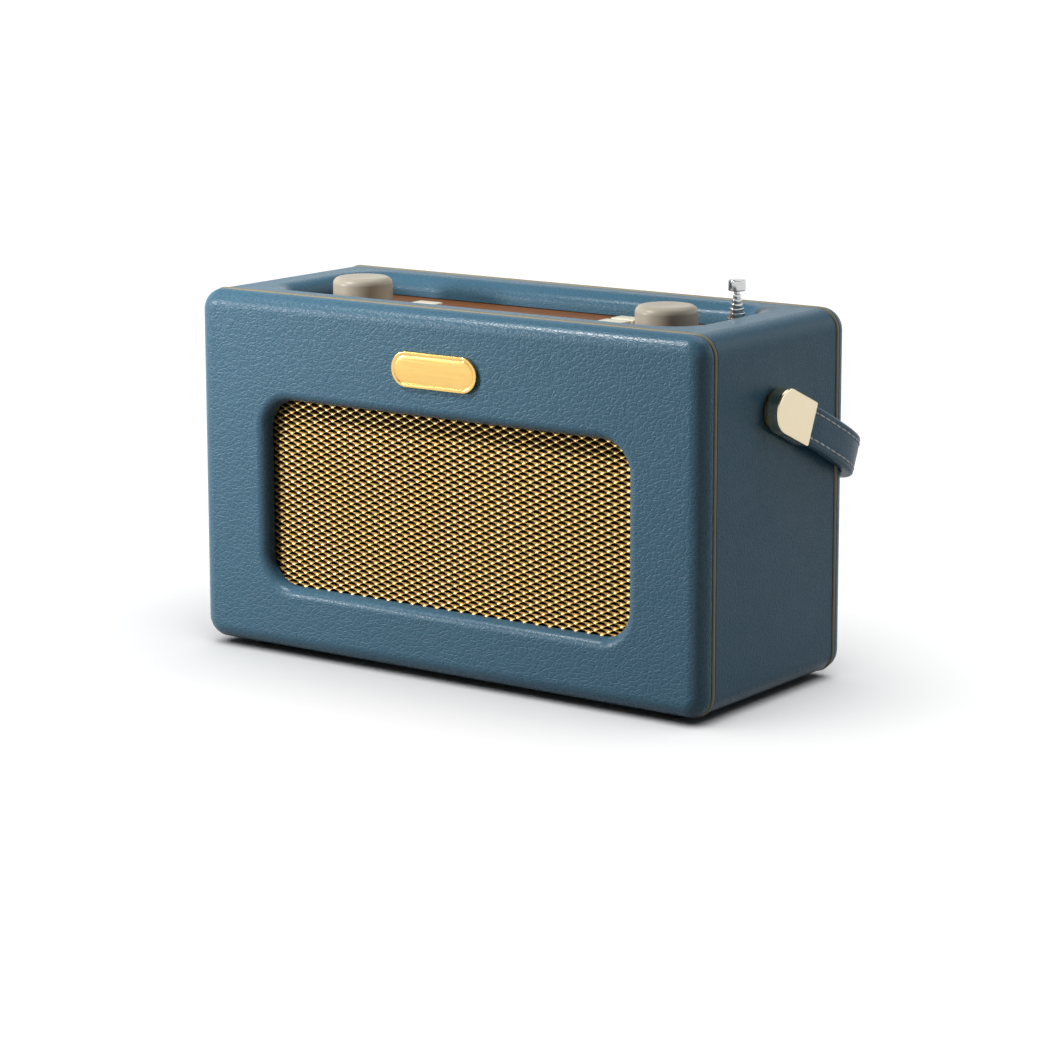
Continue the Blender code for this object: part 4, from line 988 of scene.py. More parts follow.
class RADIO_OT_piping(bpy.types.Operator):
    """Gold piping in the seams before and behind the sleeve"""

    bl_idname = "radio.piping"
    bl_label = "Piping"

    def execute(self, context):
        case = context.scene.radio_case
        trim = context.scene.radio_trim
        radius = trim.piping / 2
        finish = finish_of("gold_piping", piping_cord, tuple(trim.piping_colour))
        for name, node in (("piping_front", "front_piping"), ("piping_rear", "rear_piping")):
            y = place_of(node).y
            loops = []
            for across, along in circle(radius, sides=BEAD_SIDES):
                inset = radius - trim.piping_proud - across
                loops.append(at_depth(case_outline(case, inset), y + along))
            mesh = shaded(loft(name, loops, ring=True), sharp=80)
            add_piece(name, mesh, finish, "radio", "gold_piping", node)
        return {"FINISHED"}


CELL_POINTS = 12


def mesh_cell(trim):
    """One cell of expanded metal in the XZ plane: a rhombus round an arched gap that leans."""
    arch_power = 1.4
    # Painted shade on the gap's upper edge, as a share of that on its lower edge
    upper_rim_shade = 0.55
    side_points = CELL_POINTS // 4
    turns = [math.radians(360 * step / CELL_POINTS) for step in range(CELL_POINTS)]
    wide = trim.cell_width / 2
    high = trim.cell_height / 2
    corners = [(wide, 0), (0, high), (-wide, 0), (0, -high)]
    outer = []
    for (x, z), (next_x, next_z) in zip(corners, corners[1:] + corners[:1]):
        for step in range(side_points):
            part = step / side_points
            outer.append((x + (next_x - x) * part, z + (next_z - z) * part))
    inner = []
    for step, turn in enumerate(turns):
        arch = abs(math.sin(turn)) ** arch_power
        rise = trim.hole_rise + trim.hole_drop if step < CELL_POINTS / 2 else trim.hole_belly
        inner.append((trim.hole_width / 2 * math.cos(turn), arch * rise - trim.hole_drop))
    shape = bmesh.new()
    # The rim attribute masks painted shade along the gap's edges; the knot attribute masks painted
    # highlights on the rhombus's corners, the knots
    rim = shape.verts.layers.float.new("rim")
    knot = shape.verts.layers.float.new("knot")
    rows = []
    for loop, edge in ((outer, 0), (inner, 1)):
        row = []
        for step, (x, z) in enumerate(loop):
            corner = (1 - edge) * (step % side_points == 0)
            lean = math.sin(turns[step]) * edge * trim.strand_tilt + corner * trim.knot_proud
            vertex = shape.verts.new((x, -lean, z))
            vertex[rim] = edge * (1.0 if step > CELL_POINTS / 2 else upper_rim_shade)
            vertex[knot] = corner
            row.append(vertex)
        rows.append(row)
    for i in range(CELL_POINTS):
        j = (i + 1) % CELL_POINTS
        shape.faces.new((rows[0][i], rows[0][j], rows[1][j], rows[1][i]))
    bmesh.ops.recalc_face_normals(shape, faces=shape.faces)
    if sum((face.normal for face in shape.faces), Vector()).y > 0:
        bmesh.ops.reverse_faces(shape, faces=shape.faces)
    return to_mesh("mesh_cell", shape)


def cell_places(tree, case, trim):
    """Points in the XZ plane, every other column half a row higher, within the opening and its lip."""
    tuck = 2.4 * MM
    spare = 7
    pitch_x = tree.size("Column pitch", trim.cell_width / 2)
    pitch_z = tree.size("Row pitch", trim.cell_height)
    half_x = tree.size("Half width", case.opening_width / 2 + tuck)
    half_z = tree.size("Half height", case.opening_height / 2 + tuck)
    corner = tree.size("Corner", case.opening_corner + tuck)
    columns = 2 * int(case.opening_width / trim.cell_width) + spare
    rows = int(case.opening_height / trim.cell_height) + spare
    count_x = tree.size("Columns", columns, "NodeSocketInt")
    count_z = tree.size("Rows", rows, "NodeSocketInt")
    span_x = tree.math("MULTIPLY", pitch_x, tree.math("SUBTRACT", count_x, 1.0))
    span_z = tree.math("MULTIPLY", pitch_z, tree.math("SUBTRACT", count_z, 1.0))
    grid = tree.add("GeometryNodeMeshGrid", {
        "Size X": span_x, "Size Y": span_z, "Vertices X": count_x, "Vertices Y": count_z,
    })["Mesh"]
    spot = tree.add("ShaderNodeSeparateXYZ", {0: tree.add("GeometryNodeInputPosition")[0]})
    column = tree.math("ROUND", tree.math("DIVIDE", tree.math("ADD", spot["X"], span_x), pitch_x))
    lift = tree.math("MULTIPLY", tree.math("FLOORED_MODULO", column, 2.0), 0.5)
    raised = tree.math("ADD", spot["Y"], tree.math("MULTIPLY", lift, pitch_z))
    place = tree.add("ShaderNodeCombineXYZ", {"X": spot["X"], "Z": raised})[0]
    grid = tree.add("GeometryNodeSetPosition", {"Geometry": grid, "Position": place})["Geometry"]
    spot = tree.add("ShaderNodeSeparateXYZ", {0: tree.add("GeometryNodeInputPosition")[0]})
    over = []
    for part, half in ((spot["X"], half_x), (spot["Z"], half_z)):
        flat = tree.math("SUBTRACT", half, corner)
        reach = tree.math("SUBTRACT", tree.math("ABSOLUTE", part), flat)
        over.append(tree.math("POWER", tree.math("MAXIMUM", reach, 0.0), 2.0))
    gap = tree.math("SQRT", tree.math("ADD", *over))
    outside = tree.math("GREATER_THAN", gap, corner)
    return tree.add("GeometryNodeDeleteGeometry", {"Geometry": grid, "Selection": outside})["Geometry"]


def thickened(tree, cells, gauge):
    """One closed sheet of a thickness, from cells whose edges meet."""
    near = 0.01 * MM
    sheet = tree.add("GeometryNodeRealizeInstances", {"Geometry": cells})["Geometry"]
    sheet = tree.add("GeometryNodeMergeByDistance", {"Geometry": sheet, "Distance": near})["Geometry"]
    back = tree.add("ShaderNodeCombineXYZ", {"Y": tree.math("MULTIPLY", gauge, -1.0)})[0]
    thick = tree.add("GeometryNodeExtrudeMesh", {
        "Mesh": sheet, "Offset": back, "Offset Scale": 1.0, "Individual": False,
    })["Mesh"]
    under = tree.add("GeometryNodeFlipFaces", {"Mesh": sheet})["Mesh"]
    both = tree.add("GeometryNodeJoinGeometry")["Geometry"]
    for part in (thick, under):
        tree.tree.links.new(part, both.node.inputs["Geometry"])
    return tree.add("GeometryNodeMergeByDistance", {"Geometry": both, "Distance": near})["Geometry"]


class RADIO_OT_grille(bpy.types.Operator):
    """Gold expanded metal in the grille opening"""

    bl_idname = "radio.grille"
    bl_label = "Grille"

    def execute(self, context):
        case = context.scene.radio_case
        trim = context.scene.radio_trim
        finish = finish_of("gold_mesh", gold_mesh, tuple(trim.mesh_colour))
        tree = NodeTree("expanded_metal")
        cells = tree.placed(cell_places(tree, case, trim), tree.geometry)
        tree.finish(thickened(tree, cells, tree.size("Sheet", trim.strand_sheet)), finish)
        mesh = tree.grow(mesh_cell(trim))
        mesh.shade_smooth()
        depth = place_of("speaker_grille").y + trim.strand_sheet / 2
        moved(mesh, (0, depth, case.opening_bottom + case.opening_height / 2))
        add_piece("grille_mesh", mesh, finish, "radio", "gold_mesh", "speaker_grille")
        return {"FINISHED"}


class RADIO_OT_plaque(bpy.types.Operator):
    """Plain gold plaque with a raised rim"""

    bl_idname = "radio.plaque"
    bl_label = "Plaque"

    def execute(self, context):
        trim = context.scene.radio_trim
        low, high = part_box("badge_plate")
        half = ((high.x - low.x) / 2, (high.z - low.z) / 2)
        middle = place_of("badge_plate")
        thick = high.y - low.y
        rim = trim.plaque_rim
        ease = 0.35 * MM
        ridge = 0.3 * MM
        end_gap = 0.1 * MM
        steps = [(0, 0), (0, thick - ease)]
        for cosine, sine in quarter(LIP_STEPS)[1:]:
            steps.append((ease * (1 - cosine), thick - ease * (1 - sine)))
        steps.append((rim - ease, thick))
        for part in (0.25, 0.5, 0.75, 1.0):
            sink = trim.plaque_sink * (0.5 - 0.5 * math.cos(math.pi * part))
            steps.append((rim - ease + part * ease * 2, thick - sink))
        reach = half[1] - rim - ease - ridge
        for cosine, sine in quarter(EDGE_STEPS)[1:]:
            steps.append((rim + ease + reach * (1 - cosine), thick - trim.plaque_sink * (1 - sine)))
        loops = []
        for inset, rise in steps:
            radius = half[1] - inset - end_gap
            outline = rounded_rect(half[0] - inset, half[1] - inset, radius, (middle.x, middle.z))
            loops.append(at_depth(outline, middle.y + thick / 2 - rise))
        colour = tuple(trim.plaque_colour)
        finish = finish_of("gold_plaque", metal, colour, roughness=0.2, brush=(0.02, 1, 1))
        add_piece("plaque", shaded(loft("plaque", loops)), finish, "radio", "gold_plaque", "badge_plate")
        return {"FINISHED"}


KNOBS = (("dial_left", "knob_left", "volume_knob"), ("dial_right", "knob_right", "tuning_knob"))
BUTTONS = [f"button_left_{n}" for n in (1, 2, 3)] + [f"button_right_{n}" for n in (1, 2, 3, 4)]


class RADIO_OT_control_plate(bpy.types.Operator):
    """Brown control plate with its cut-outs, and the display window in it"""

    bl_idname = "radio.control_plate"
    bl_label = "Control Plate"

    def execute(self, context):
        case = context.scene.radio_case
        controls = context.scene.radio_controls
        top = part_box("control_plate")[1].z - ORIGIN.z
        bores = {"knob_left": KNOB_HOLE, "knob_right": KNOB_HOLE, "antenna_mast": MAST_HOLE}
        holes = []
        for node, radius in bores.items():
            holes.append(circle(radius, place_of(node).xy, SMALL_SIDES))
        half = (controls.button_length / 2 + FIT, controls.button_width / 2 + FIT)
        for node in BUTTONS:
            corner = controls.button_corner + FIT
            holes.append(rounded_rect(*half, corner, place_of(node).xy, LIP_STEPS))
        low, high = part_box("display_window")
        middle = place_of("display_window")
        half = ((high.x - low.x) / 2, (high.y - low.y) / 2)
        holes.append(rounded_rect(half[0] + FIT, half[1] + FIT, WINDOW_CORNER, middle.xy, LIP_STEPS))
        thick = controls.plate_thickness
        sheet = flat_plate("control_deck", bay_outline(case, PLATE_LIP), thick, holes, bevel=0.15 * MM)
        moved(sheet, (0, 0, top - thick / 2))
        finish = finish_of("brown_plate", brown_plate, tuple(controls.plate_colour))
        add_piece("control_deck", shaded(sheet), finish, "radio", "bronze_plate", "control_plate")
        outline = rounded_rect(*half, WINDOW_CORNER, middle.xy, LIP_STEPS)
        pane = flat_plate("display_pane", outline, high.z - low.z, bevel=0.25 * MM)
        pane = shaded(moved(pane, (0, 0, middle.z)))
        finish = finish_of("dark_window", dark_window, tuple(controls.window_colour))
        add_piece("display_pane", pane, finish, "radio", "window", "display_window")
        return {"FINISHED"}


class RADIO_OT_knobs(bpy.types.Operator):
    """Two turned knobs with round top edges and dished tops"""

    bl_idname = "radio.knobs"
    bl_label = "Knobs"

    def execute(self, context):
        controls = context.scene.radio_controls
        colour = tuple(controls.knob_colour)
        texture = {"grain": 0.3 * MM, "depth": 0.012 * MM}
        finish = finish_of("putty_moulding", moulding, colour, roughness=0.4, **texture)
        edge = controls.knob_edge
        ease = 0.4 * MM
        bore = 3.3 * MM
        depth = 8.5 * MM
        dish_steps = 8
        for name, node, body in KNOBS:
            low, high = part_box(node)
            radius = (high.x - low.x) / 2
            tall = high.z - low.z
            profile = [(0, tall - controls.knob_dish)]
            for step in range(1, dish_steps + 1):
                part = step / dish_steps
                dip = controls.knob_dish * (1 - part**2) ** 2
                profile.append(((radius - edge) * part, tall - dip))
            profile += arc((radius - edge, tall - edge), edge, 90, 0, EDGE_STEPS)[1:]
            profile += arc((radius - ease, ease), ease, 0, -90, LIP_STEPS)
            profile += [(bore, 0), (bore, depth), (0, depth)]
            mesh = shaded(turned(name, profile))
            moved(mesh, (*place_of(node).xy, low.z - ORIGIN.z))
            add_piece(name, mesh, finish, body, "putty", node)
        return {"FINISHED"}


class RADIO_OT_buttons(bpy.types.Operator):
    """Cream buttons with eased edges and slightly crowned tops"""

    bl_idname = "radio.buttons"
    bl_label = "Buttons"

    def execute(self, context):
        controls = context.scene.radio_controls
        colour = tuple(controls.button_colour)
        texture = {"grain": 0.4 * MM, "depth": 0.008 * MM}
        finish = finish_of("cream_moulding", moulding, colour, roughness=0.3, specular=0.5, **texture)
        edge = controls.button_edge
        half = (controls.button_length / 2, controls.button_width / 2)
        flange_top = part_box("control_plate")[0].z - FIT
        flange_foot = flange_top - 1 * MM
        stem = 2 * MM
        crown = 0.12 * MM
        crown_steps = ((1.4 * MM, 0.5), (2.4 * MM, 1.0))
        for node in BUTTONS:
            low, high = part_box(node)
            flange = ((high.x - low.x) / 2, (high.y - low.y) / 2)
            sizes = [(stem, stem, low.z), (stem, stem, flange_foot)]
            sizes += [(*flange, flange_foot), (*flange, flange_top), (*half, flange_top)]
            for cosine, sine in quarter(LIP_STEPS):
                inset = edge * (1 - cosine)
                sizes.append((half[0] - inset, half[1] - inset, high.z - crown - edge * (1 - sine)))
            for inset, rise in crown_steps:
                sizes.append((half[0] - inset, half[1] - inset, high.z - crown * (1 - rise)))
            loops = []
            for a, b, z in sizes:
                outline = rounded_rect(a, b, controls.button_corner, place_of(node).xy, LIP_STEPS)
                loops.append(at_height(outline, z - ORIGIN.z))
            name = "key_" + node.removeprefix("button_")
            add_piece(name, shaded(loft(name, loops)), finish, node, "cream", node)
        return {"FINISHED"}


class RADIO_OT_antenna(bpy.types.Operator):
    """Telescopic antenna: beaded tubes in one another, a turned tip and the guide ring"""

    bl_idname = "radio.antenna"
    bl_label = "Antenna"

    def execute(self, context):
        controls = context.scene.radio_controls
        back = context.scene.radio_back
        chrome = finish_of("chrome", metal, tuple(controls.chrome_colour), roughness=0.06)
        wall = 0.2 * MM
        ease = 0.3 * MM
        bead = 1.1 * MM
        groove = 1.375 * MM
        sink, slope = 0.12 * MM, 0.1 * MM
        tubes = [("mast", "antenna_mast")]
        tubes += [(f"section_{n}", f"antenna_section_{n}") for n in range(1, 6)]
        for label, node in tubes:
            low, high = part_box(node)
            outer = (high.x - low.x) / 2
            top = high.z - ORIGIN.z
            bottom = low.z - ORIGIN.z
            profile = [(outer - wall, top)]
            profile += arc((outer - ease, top - ease), ease, 90, 0, LIP_STEPS)
            profile += [(outer, top - bead), (outer - sink, top - bead - slope)]
            profile += [(outer - sink, top - groove), (outer, top - groove - slope)]
            profile += [(outer, bottom), (outer - wall, bottom)]
            mesh = shaded(turned("rod_" + label, profile, TUBE_SIDES, ring=True), sharp=40)
            moved(mesh, (*place_of(node).xy, 0))
            add_piece("rod_" + label, mesh, chrome, node, "chrome", node)
        low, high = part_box("antenna_tip")
        axis = (*place_of("antenna_tip").xy, 0)
        radius = (high.x - low.x) / 2
        top = high.z - ORIGIN.z
        bottom = low.z - ORIGIN.z
        gap = 1.225 * MM
        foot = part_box("antenna_section_5")[1].z - ORIGIN.z + gap
        rod = 1.11 * MM
        edge = 0.5 * MM
        flat = radius - 1.2 * MM
        profile = [(0, top), (flat, top)]
        profile += arc((radius - edge, top - edge), edge, 90, 0, LIP_STEPS)
        profile += arc((radius - edge, foot + edge), edge, 0, -90, LIP_STEPS)
        profile += [(rod, foot), (rod, bottom), (0, bottom)]
        mesh = moved(shaded(turned("rod_tip", profile, TUBE_SIDES), sharp=40), axis)
        add_piece("rod_tip", mesh, chrome, "antenna_tip", "chrome", "antenna_tip")
        low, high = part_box("antenna_guide")
        top = high.z - ORIGIN.z
        bottom = low.z - ORIGIN.z
        flange = (high.x - low.x) / 2
        thick = 1 * MM
        bore = 4.05 * MM
        pipe = 4.7 * MM
        ease = 0.2 * MM
        profile = [(bore, top - ease), (bore + ease, top)]
        profile += arc((flange - edge, top - edge), edge, 90, 0, LIP_STEPS)
        profile += [(flange, top - thick), (pipe, top - thick), (pipe, bottom), (bore, bottom)]
        mesh = moved(shaded(turned("guide_ring", profile, TUBE_SIDES, ring=True)), axis)
        add_piece("guide_ring", mesh, black_moulding(back), "radio", "black", "antenna_guide")
        return {"FINISHED"}


def smoothed(part):
    """A share from 0 to 1 with soft ends."""
    part = min(1.0, part)
    return part * part * (3 - 2 * part)


def strap_path(handle):
    """The U of the strap's middle line in the handle's frame: points, outward normals and padding."""
    arm_steps, bend_steps, back_steps = 12, 24, 20
    sag_run, swell_run = 60 * MM, 10 * MM
    bend, turn = handle.strap_bend, handle.strap_turn
    bend_x = CAP_MIDDLE - turn
    bend_y = STRAP_REACH - handle.strap_thickness / 2 + handle.strap_slack - bend
    start = handle.cap_length - SLOT_DEPTH + FIT
    half = [(CAP_MIDDLE, start + (bend_y - start) * step / arm_steps, 1, 0) for step in range(arm_steps)]
    power = 2 / handle.strap_fullness
    for a, b in quarter(bend_steps):
        normal = Vector((a ** (2 - power) / turn, b ** (2 - power) / bend)).normalized()
        half.append((bend_x + turn * a**power, bend_y + bend * b**power, *normal))
    for step in range(1, back_steps + 1):
        half.append((bend_x * (1 - step / back_steps), bend_y + bend, 0, 1))
    run = 0.0
    path = []
    for (x, y, a, b), before in zip(half, half[:1] + half):
        if y > handle.cap_length:
            run += math.hypot(x - before[0], y - before[1])
        drop = -handle.strap_sag * smoothed(run / sag_run)
        swell = 1 + (handle.strap_padding - 1) * smoothed(run / swell_run)
        path.append((Vector((x, y, drop)), Vector((a, b, 0)), swell))
    flip = Vector((-1, 1, 1))
    mirrored = [(spot * flip, out * flip, swell) for spot, out, swell in path]
    return path + mirrored[-2::-1]


def strap_section(handle):
    """The strap's cross section as (outwards, across) pairs, with round edges and stitch grooves."""
    half_t = handle.strap_thickness / 2
    half_w = handle.strap_width / 2
    edge = handle.strap_edge
    inset = handle.stitch_inset
    shoulder, shoulder_dip = 0.9 * MM, 0.02 * MM
    flat = half_w - edge
    spots = [flat, half_w - inset + shoulder, half_w - inset, half_w - inset - shoulder, flat / 3]
    depths = [0.0, shoulder_dip, STITCH_DIP, shoulder_dip, 0.0]
    face = [(half_t - sink, spot) for spot, sink in zip(spots, depths)]
    face += [(out, -spot) for out, spot in face[::-1]]
    corner = arc((half_t - edge, -flat), edge, 0, -90, LIP_STEPS)[1:]
    lower = arc((edge - half_t, -flat), edge, 270, 180, LIP_STEPS)
    right = face + corner + lower[:-1]
    return right + [(-out, -across) for out, across in right]


class RADIO_OT_strap(bpy.types.Operator):
    """Covered strap with two stitched rows on each face"""

    bl_idname = "radio.strap"
    bl_label = "Strap"

    def execute(self, context):
        case = context.scene.radio_case
        handle = context.scene.radio_handle
        section = strap_section(handle)
        loops = []
        path = strap_path(handle)
        for spot, normal, swell in path:
            loop = [spot + normal * out * swell + Vector((0, 0, across)) for out, across in section]
            loops.append(loop)
        mesh = shaded(loft("strap", loops), sharp=50)
        mesh.transform(handle_frame())
        add_piece("strap", mesh, smooth_covering(case), "handle", "leathercloth", "handle_strap")
        thread = finish_of("thread", twisted_thread, tuple(handle.thread_colour))
        sunk = handle.strap_thickness / 2 - STITCH_DIP + handle.thread * 0.2
        start = handle.cap_length + 1 * MM
        shape = bmesh.new()
        for side in (-1, 1):
            for face in (-1, 1):
                across = side * (handle.strap_width / 2 - handle.stitch_inset)
                line = [spot + normal * face * sunk * swell for spot, normal, swell in path]
                line = [point for point in line if point.y > start]
                row = [shape.verts.new(point + Vector((0, 0, across))) for point in line]
                for first, second in zip(row, row[1:]):
                    shape.edges.new((first, second))
        lines = to_mesh("stitch_lines", shape)
        tree = NodeTree("stitch_rows")
        curve = tree.add("GeometryNodeMeshToCurve", {"Mesh": tree.geometry})["Curve"]
        points = tree.add("GeometryNodeCurveToPoints", {
            "Curve": curve, "Length": tree.size("Pitch", handle.stitch_pitch),
        }, mode="LENGTH")
        stitch = tree.add("GeometryNodeMeshUVSphere", {"Segments": 8, "Rings": 6, "Radius": 1.0})["Mesh"]
        half_thread = tree.math("DIVIDE", tree.size("Thread", handle.thread), 2.0)
        half_stitch = tree.math("DIVIDE", tree.size("Stitch length", handle.stitch_length), 2.0)
        radii = {"X": half_thread, "Y": half_thread, "Z": half_stitch}
        scale = tree.add("ShaderNodeCombineXYZ", radii)[0]
        stitch = tree.add("GeometryNodeTransform", {"Geometry": stitch, "Scale": scale})["Geometry"]
        along = {"Vector": points["Tangent"]}
        turn = tree.add("FunctionNodeAlignRotationToVector", along, axis="Z")["Rotation"]
        placed = tree.add("GeometryNodeInstanceOnPoints", {
            "Points": points["Points"], "Instance": stitch, "Rotation": turn,
        })["Instances"]
        tree.finish(placed, thread)
        rows = tree.grow(lines)
        rows.shade_smooth()
        rows.transform(handle_frame())
        add_piece("strap_stitches", rows, thread, "handle", "leathercloth")
        return {"FINISHED"}


class RADIO_OT_caps(bpy.types.Operator):
    """Pale gold strap caps, and the bush rings that they turn on"""

    bl_idname = "radio.caps"
    bl_label = "Strap Caps"

    def execute(self, context):
        case = context.scene.radio_case
        handle = context.scene.radio_handle
        trim = context.scene.radio_trim
        colour = tuple(handle.cap_colour)
        finish = finish_of("pale_gold", metal, colour, roughness=0.17, brush=(1, 0.06, 1), wear=0.03)
        outline = arc((0, 0), handle.cap_radius, 90, 270, SMALL_SIDES)
        ease = 1.0 * MM
        for side, turn in ((-1, -90), (1, 0)):
            corner = (handle.cap_length - ease, side * (handle.cap_radius - ease))
            outline += arc(corner, ease, turn, turn + 90, LIP_STEPS)
        slot = (SLOT_DEPTH + FIT, handle.strap_width + 2 * FIT, handle.strap_thickness + 2 * FIT)
        slot_middle = (handle.cap_length - SLOT_DEPTH / 2 + FIT / 2, 0, 0)
        for name, side in (("left", -1), ("right", 1)):
            sheet = flat_plate(f"strap_cap_{name}", outline, CAP_THICKNESS, bevel=handle.cap_bevel)
            cap = carved(sheet, [cuboid("slot", slot, slot_middle)])
            moved(cap, (side * CAP_MIDDLE, 0, 0), ALONG_ARM)
            cap.transform(handle_frame())
            cap = shaded(cap, sharp=30)
            add_piece(f"strap_cap_{name}", cap, finish, "handle", "pale_gold", f"handle_cap_{name}")
        # Brass darkened to 0.12 of the plaque's gold: painted shade for the gaps between the caps and
        # the case
        brass = finish_of("aged_brass", metal, toned(trim.plaque_colour, 0.12), roughness=0.5)
        pivot = joint_place("handle_swing")
        wide, pipe, bore = 8 * MM, 5 * MM, 2.7 * MM
        face, depth, ease = 1.3 * MM, 7.5 * MM, 0.3 * MM
        profile = [(bore, face)] + arc((wide - ease, face - ease), ease, 90, 0, LIP_STEPS)
        profile += [(wide, FIT), (pipe, FIT), (pipe, -depth), (bore, -depth)]
        for name, side, turn in (("left", -1, FACE_LEFT), ("right", 1, FACE_RIGHT)):
            ring = shaded(turned(f"pivot_ring_{name}", profile, TUBE_SIDES, ring=True))
            moved(ring, (side * case.width / 2, pivot.y, pivot.z), turn)
            add_piece(f"pivot_ring_{name}", ring, brass, "radio", "brass", f"pivot_bush_{name}")
        return {"FINISHED"}


class RADIO_OT_back_cover(bpy.types.Operator):
    """Black back plate with its hinge ears"""

    bl_idname = "radio.back_cover"
    bl_label = "Back Plate"

    def execute(self, context):
        back = context.scene.radio_back
        hinge = joint_place("battery_door_open")
        face = hinge.y - FIT
        holes = [door_outline(back, 0)]
        for node in ("headphone_socket", "power_socket"):
            middle = place_of(node)
            holes.append(circle(SOCKET_HOLE, (middle.x, middle.z), SMALL_SIDES))
        plate = flat_plate("back_cover", back_outline(back, -FIT), back.sheet, holes, bevel=0.25 * MM)
        moved(plate, (0, face - back.sheet / 2, 0), FACE_FRONT)
        ears = []
        outer = hinge.y + KNUCKLE
        inner = face - back.sheet
        low = back.door_bottom - 2 * MM
        top = hinge.z + EAR_RISE
        wide, ear_x = 5 * MM, 42.8 * MM
        for x in (-ear_x, ear_x):
            place = (x, (inner + outer) / 2, (low + top) / 2)
            ears.append(cuboid("ear", (wide, outer - inner, top - low), place, bevel=0.35 * MM))
        mesh = shaded(carved(plate, ears, "UNION"))
        add_piece("back_cover", mesh, black_moulding(back), "radio", "black", "back_plate")
        return {"FINISHED"}


class RADIO_OT_battery_door(bpy.types.Operator):
    """Battery door with its knuckle and grip ribs"""

    bl_idname = "radio.battery_door"
    bl_label = "Battery Door"

    def execute(self, context):
        back = context.scene.radio_back
        hinge = joint_place("battery_door_open")
        low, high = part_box("battery_door")
        half = (high.x - low.x) / 2
        top = high.z - ORIGIN.z - hinge.z
        tongue = 40 * MM
        bore = 0.9 * MM
        step = math.hypot(KNUCKLE, EAR_RISE) + FIT
        corner = DOOR_CORNER
        outline = [(-tongue, bore), (tongue, bore), (tongue, step), (half, step + FIT)]
        outline += arc((half - corner, top - corner), corner, 0, 90, LIP_STEPS)
        outline += arc((corner - half, top - corner), corner, 90, 180, LIP_STEPS)
        outline += [(-half, step + FIT), (-tongue, step)]
        sheet = flat_plate("battery_flap", outline, back.sheet, bevel=0.2 * MM)
        moved(sheet, (0, 0, FIT + back.sheet / 2))
        moved(sheet, hinge, FACE_FRONT)
        reach = tongue - FIT
        profile = [(bore, -reach), (KNUCKLE, -reach), (KNUCKLE, reach), (bore, reach)]
        roll = moved(turned("knuckle", profile, PIN_SIDES, ring=True), hinge, FACE_RIGHT)
        flap = shaded(carved(sheet, [roll], "UNION"))
        finish = black_moulding(back)
        add_piece("battery_flap", flap, finish, "battery_door", "black", "battery_door")
        tree = NodeTree("grip_ribs")
        drop = tree.add("ShaderNodeCombineXYZ", {"Z": tree.size("Pitch", -back.rib_pitch)})[0]
        margin = 5 * MM
        start = Vector((0, hinge.y - FIT, hinge.z + top - margin))
        line = tree.add("GeometryNodeMeshLine", {
            "Count": tree.size("Count", back.rib_count, "NodeSocketInt"), "Offset": drop,
            "Start Location": tree.size("Start", start, "NodeSocketVector"),
        })["Mesh"]
        tree.finish(tree.placed(line, tree.geometry), finish)
        deep, high = 0.9 * MM, 1.1 * MM
        ribs = tree.grow(cuboid("rib", (back.rib_length, deep, high), bevel=0.35 * MM))
        add_piece("battery_flap_ribs", shaded(ribs), finish, "battery_door", "black")
        return {"FINISHED"}


class RADIO_OT_back_fittings(bpy.types.Operator):
    """Cross-slotted screws and the two sockets on the back"""

    bl_idname = "radio.back_fittings"
    bl_label = "Screws and Sockets"

    def execute(self, context):
        back = context.scene.radio_back
        screws = [f"back_screw_{n}" for n in (1, 2, 3, 4)]
        places = [place_of(node) for node in screws]
        low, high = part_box(screws[0])
        head = (high.x - low.x) / 2
        span = (places[2].x - places[0].x, places[1].z - places[0].z)
        middle = sum(places, Vector()) / 4
        tall, shank, depth = 1.2 * MM, 1.4 * MM, 4.7 * MM
        dome = ((0.4, 0.97), (0.7, 0.85), (0.9, 0.6), (1, 0.25))
        profile = [(0, tall)] + [(head * out, tall * up) for out, up in dome]
        profile += [(head, 0), (shank, 0), (shank, -depth), (0, -depth)]
        long, short, deep = 3.4 * MM, 0.7 * MM, 1.3 * MM
        bars = [cuboid("slot", (*size, deep), (0, 0, tall)) for size in ((long, short), (short, long))]
        screw = shaded(carved(turned("screw", profile, SMALL_SIDES), bars), sharp=30)
        rows = four_places("back_screws", screw, span, (0, 0, 0), steel(back))
        face = high.y - ORIGIN.y - tall
        moved(rows, (middle.x, face, middle.z), FACE_REAR)
        add_piece("back_screws", shaded(rows, sharp=30), steel(back), "radio", "steel", *screws)
        for node, bore in (("headphone_socket", 1.75 * MM), ("power_socket", 1.7 * MM)):
            low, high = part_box(node)
            place = place_of(node)
            flange = (high.x - low.x) / 2
            thick, pipe, ease = 1 * MM, 3.7 * MM, 0.4 * MM
            depth = low.y - high.y + thick
            profile = [(bore, thick - ease), (bore + ease, thick)]
            profile += arc((flange - ease, thick - ease), ease, 90, 0, LIP_STEPS)
            profile += [(flange, 0), (pipe, 0), (pipe, depth), (bore, depth)]
            ring = shaded(turned(node + "_ring", profile, ROUND_SIDES, ring=True))
            moved(ring, (place.x, high.y - ORIGIN.y - thick, place.z), FACE_REAR)
            add_piece(node + "_ring", ring, steel(back), "radio", "steel", node)
        return {"FINISHED"}


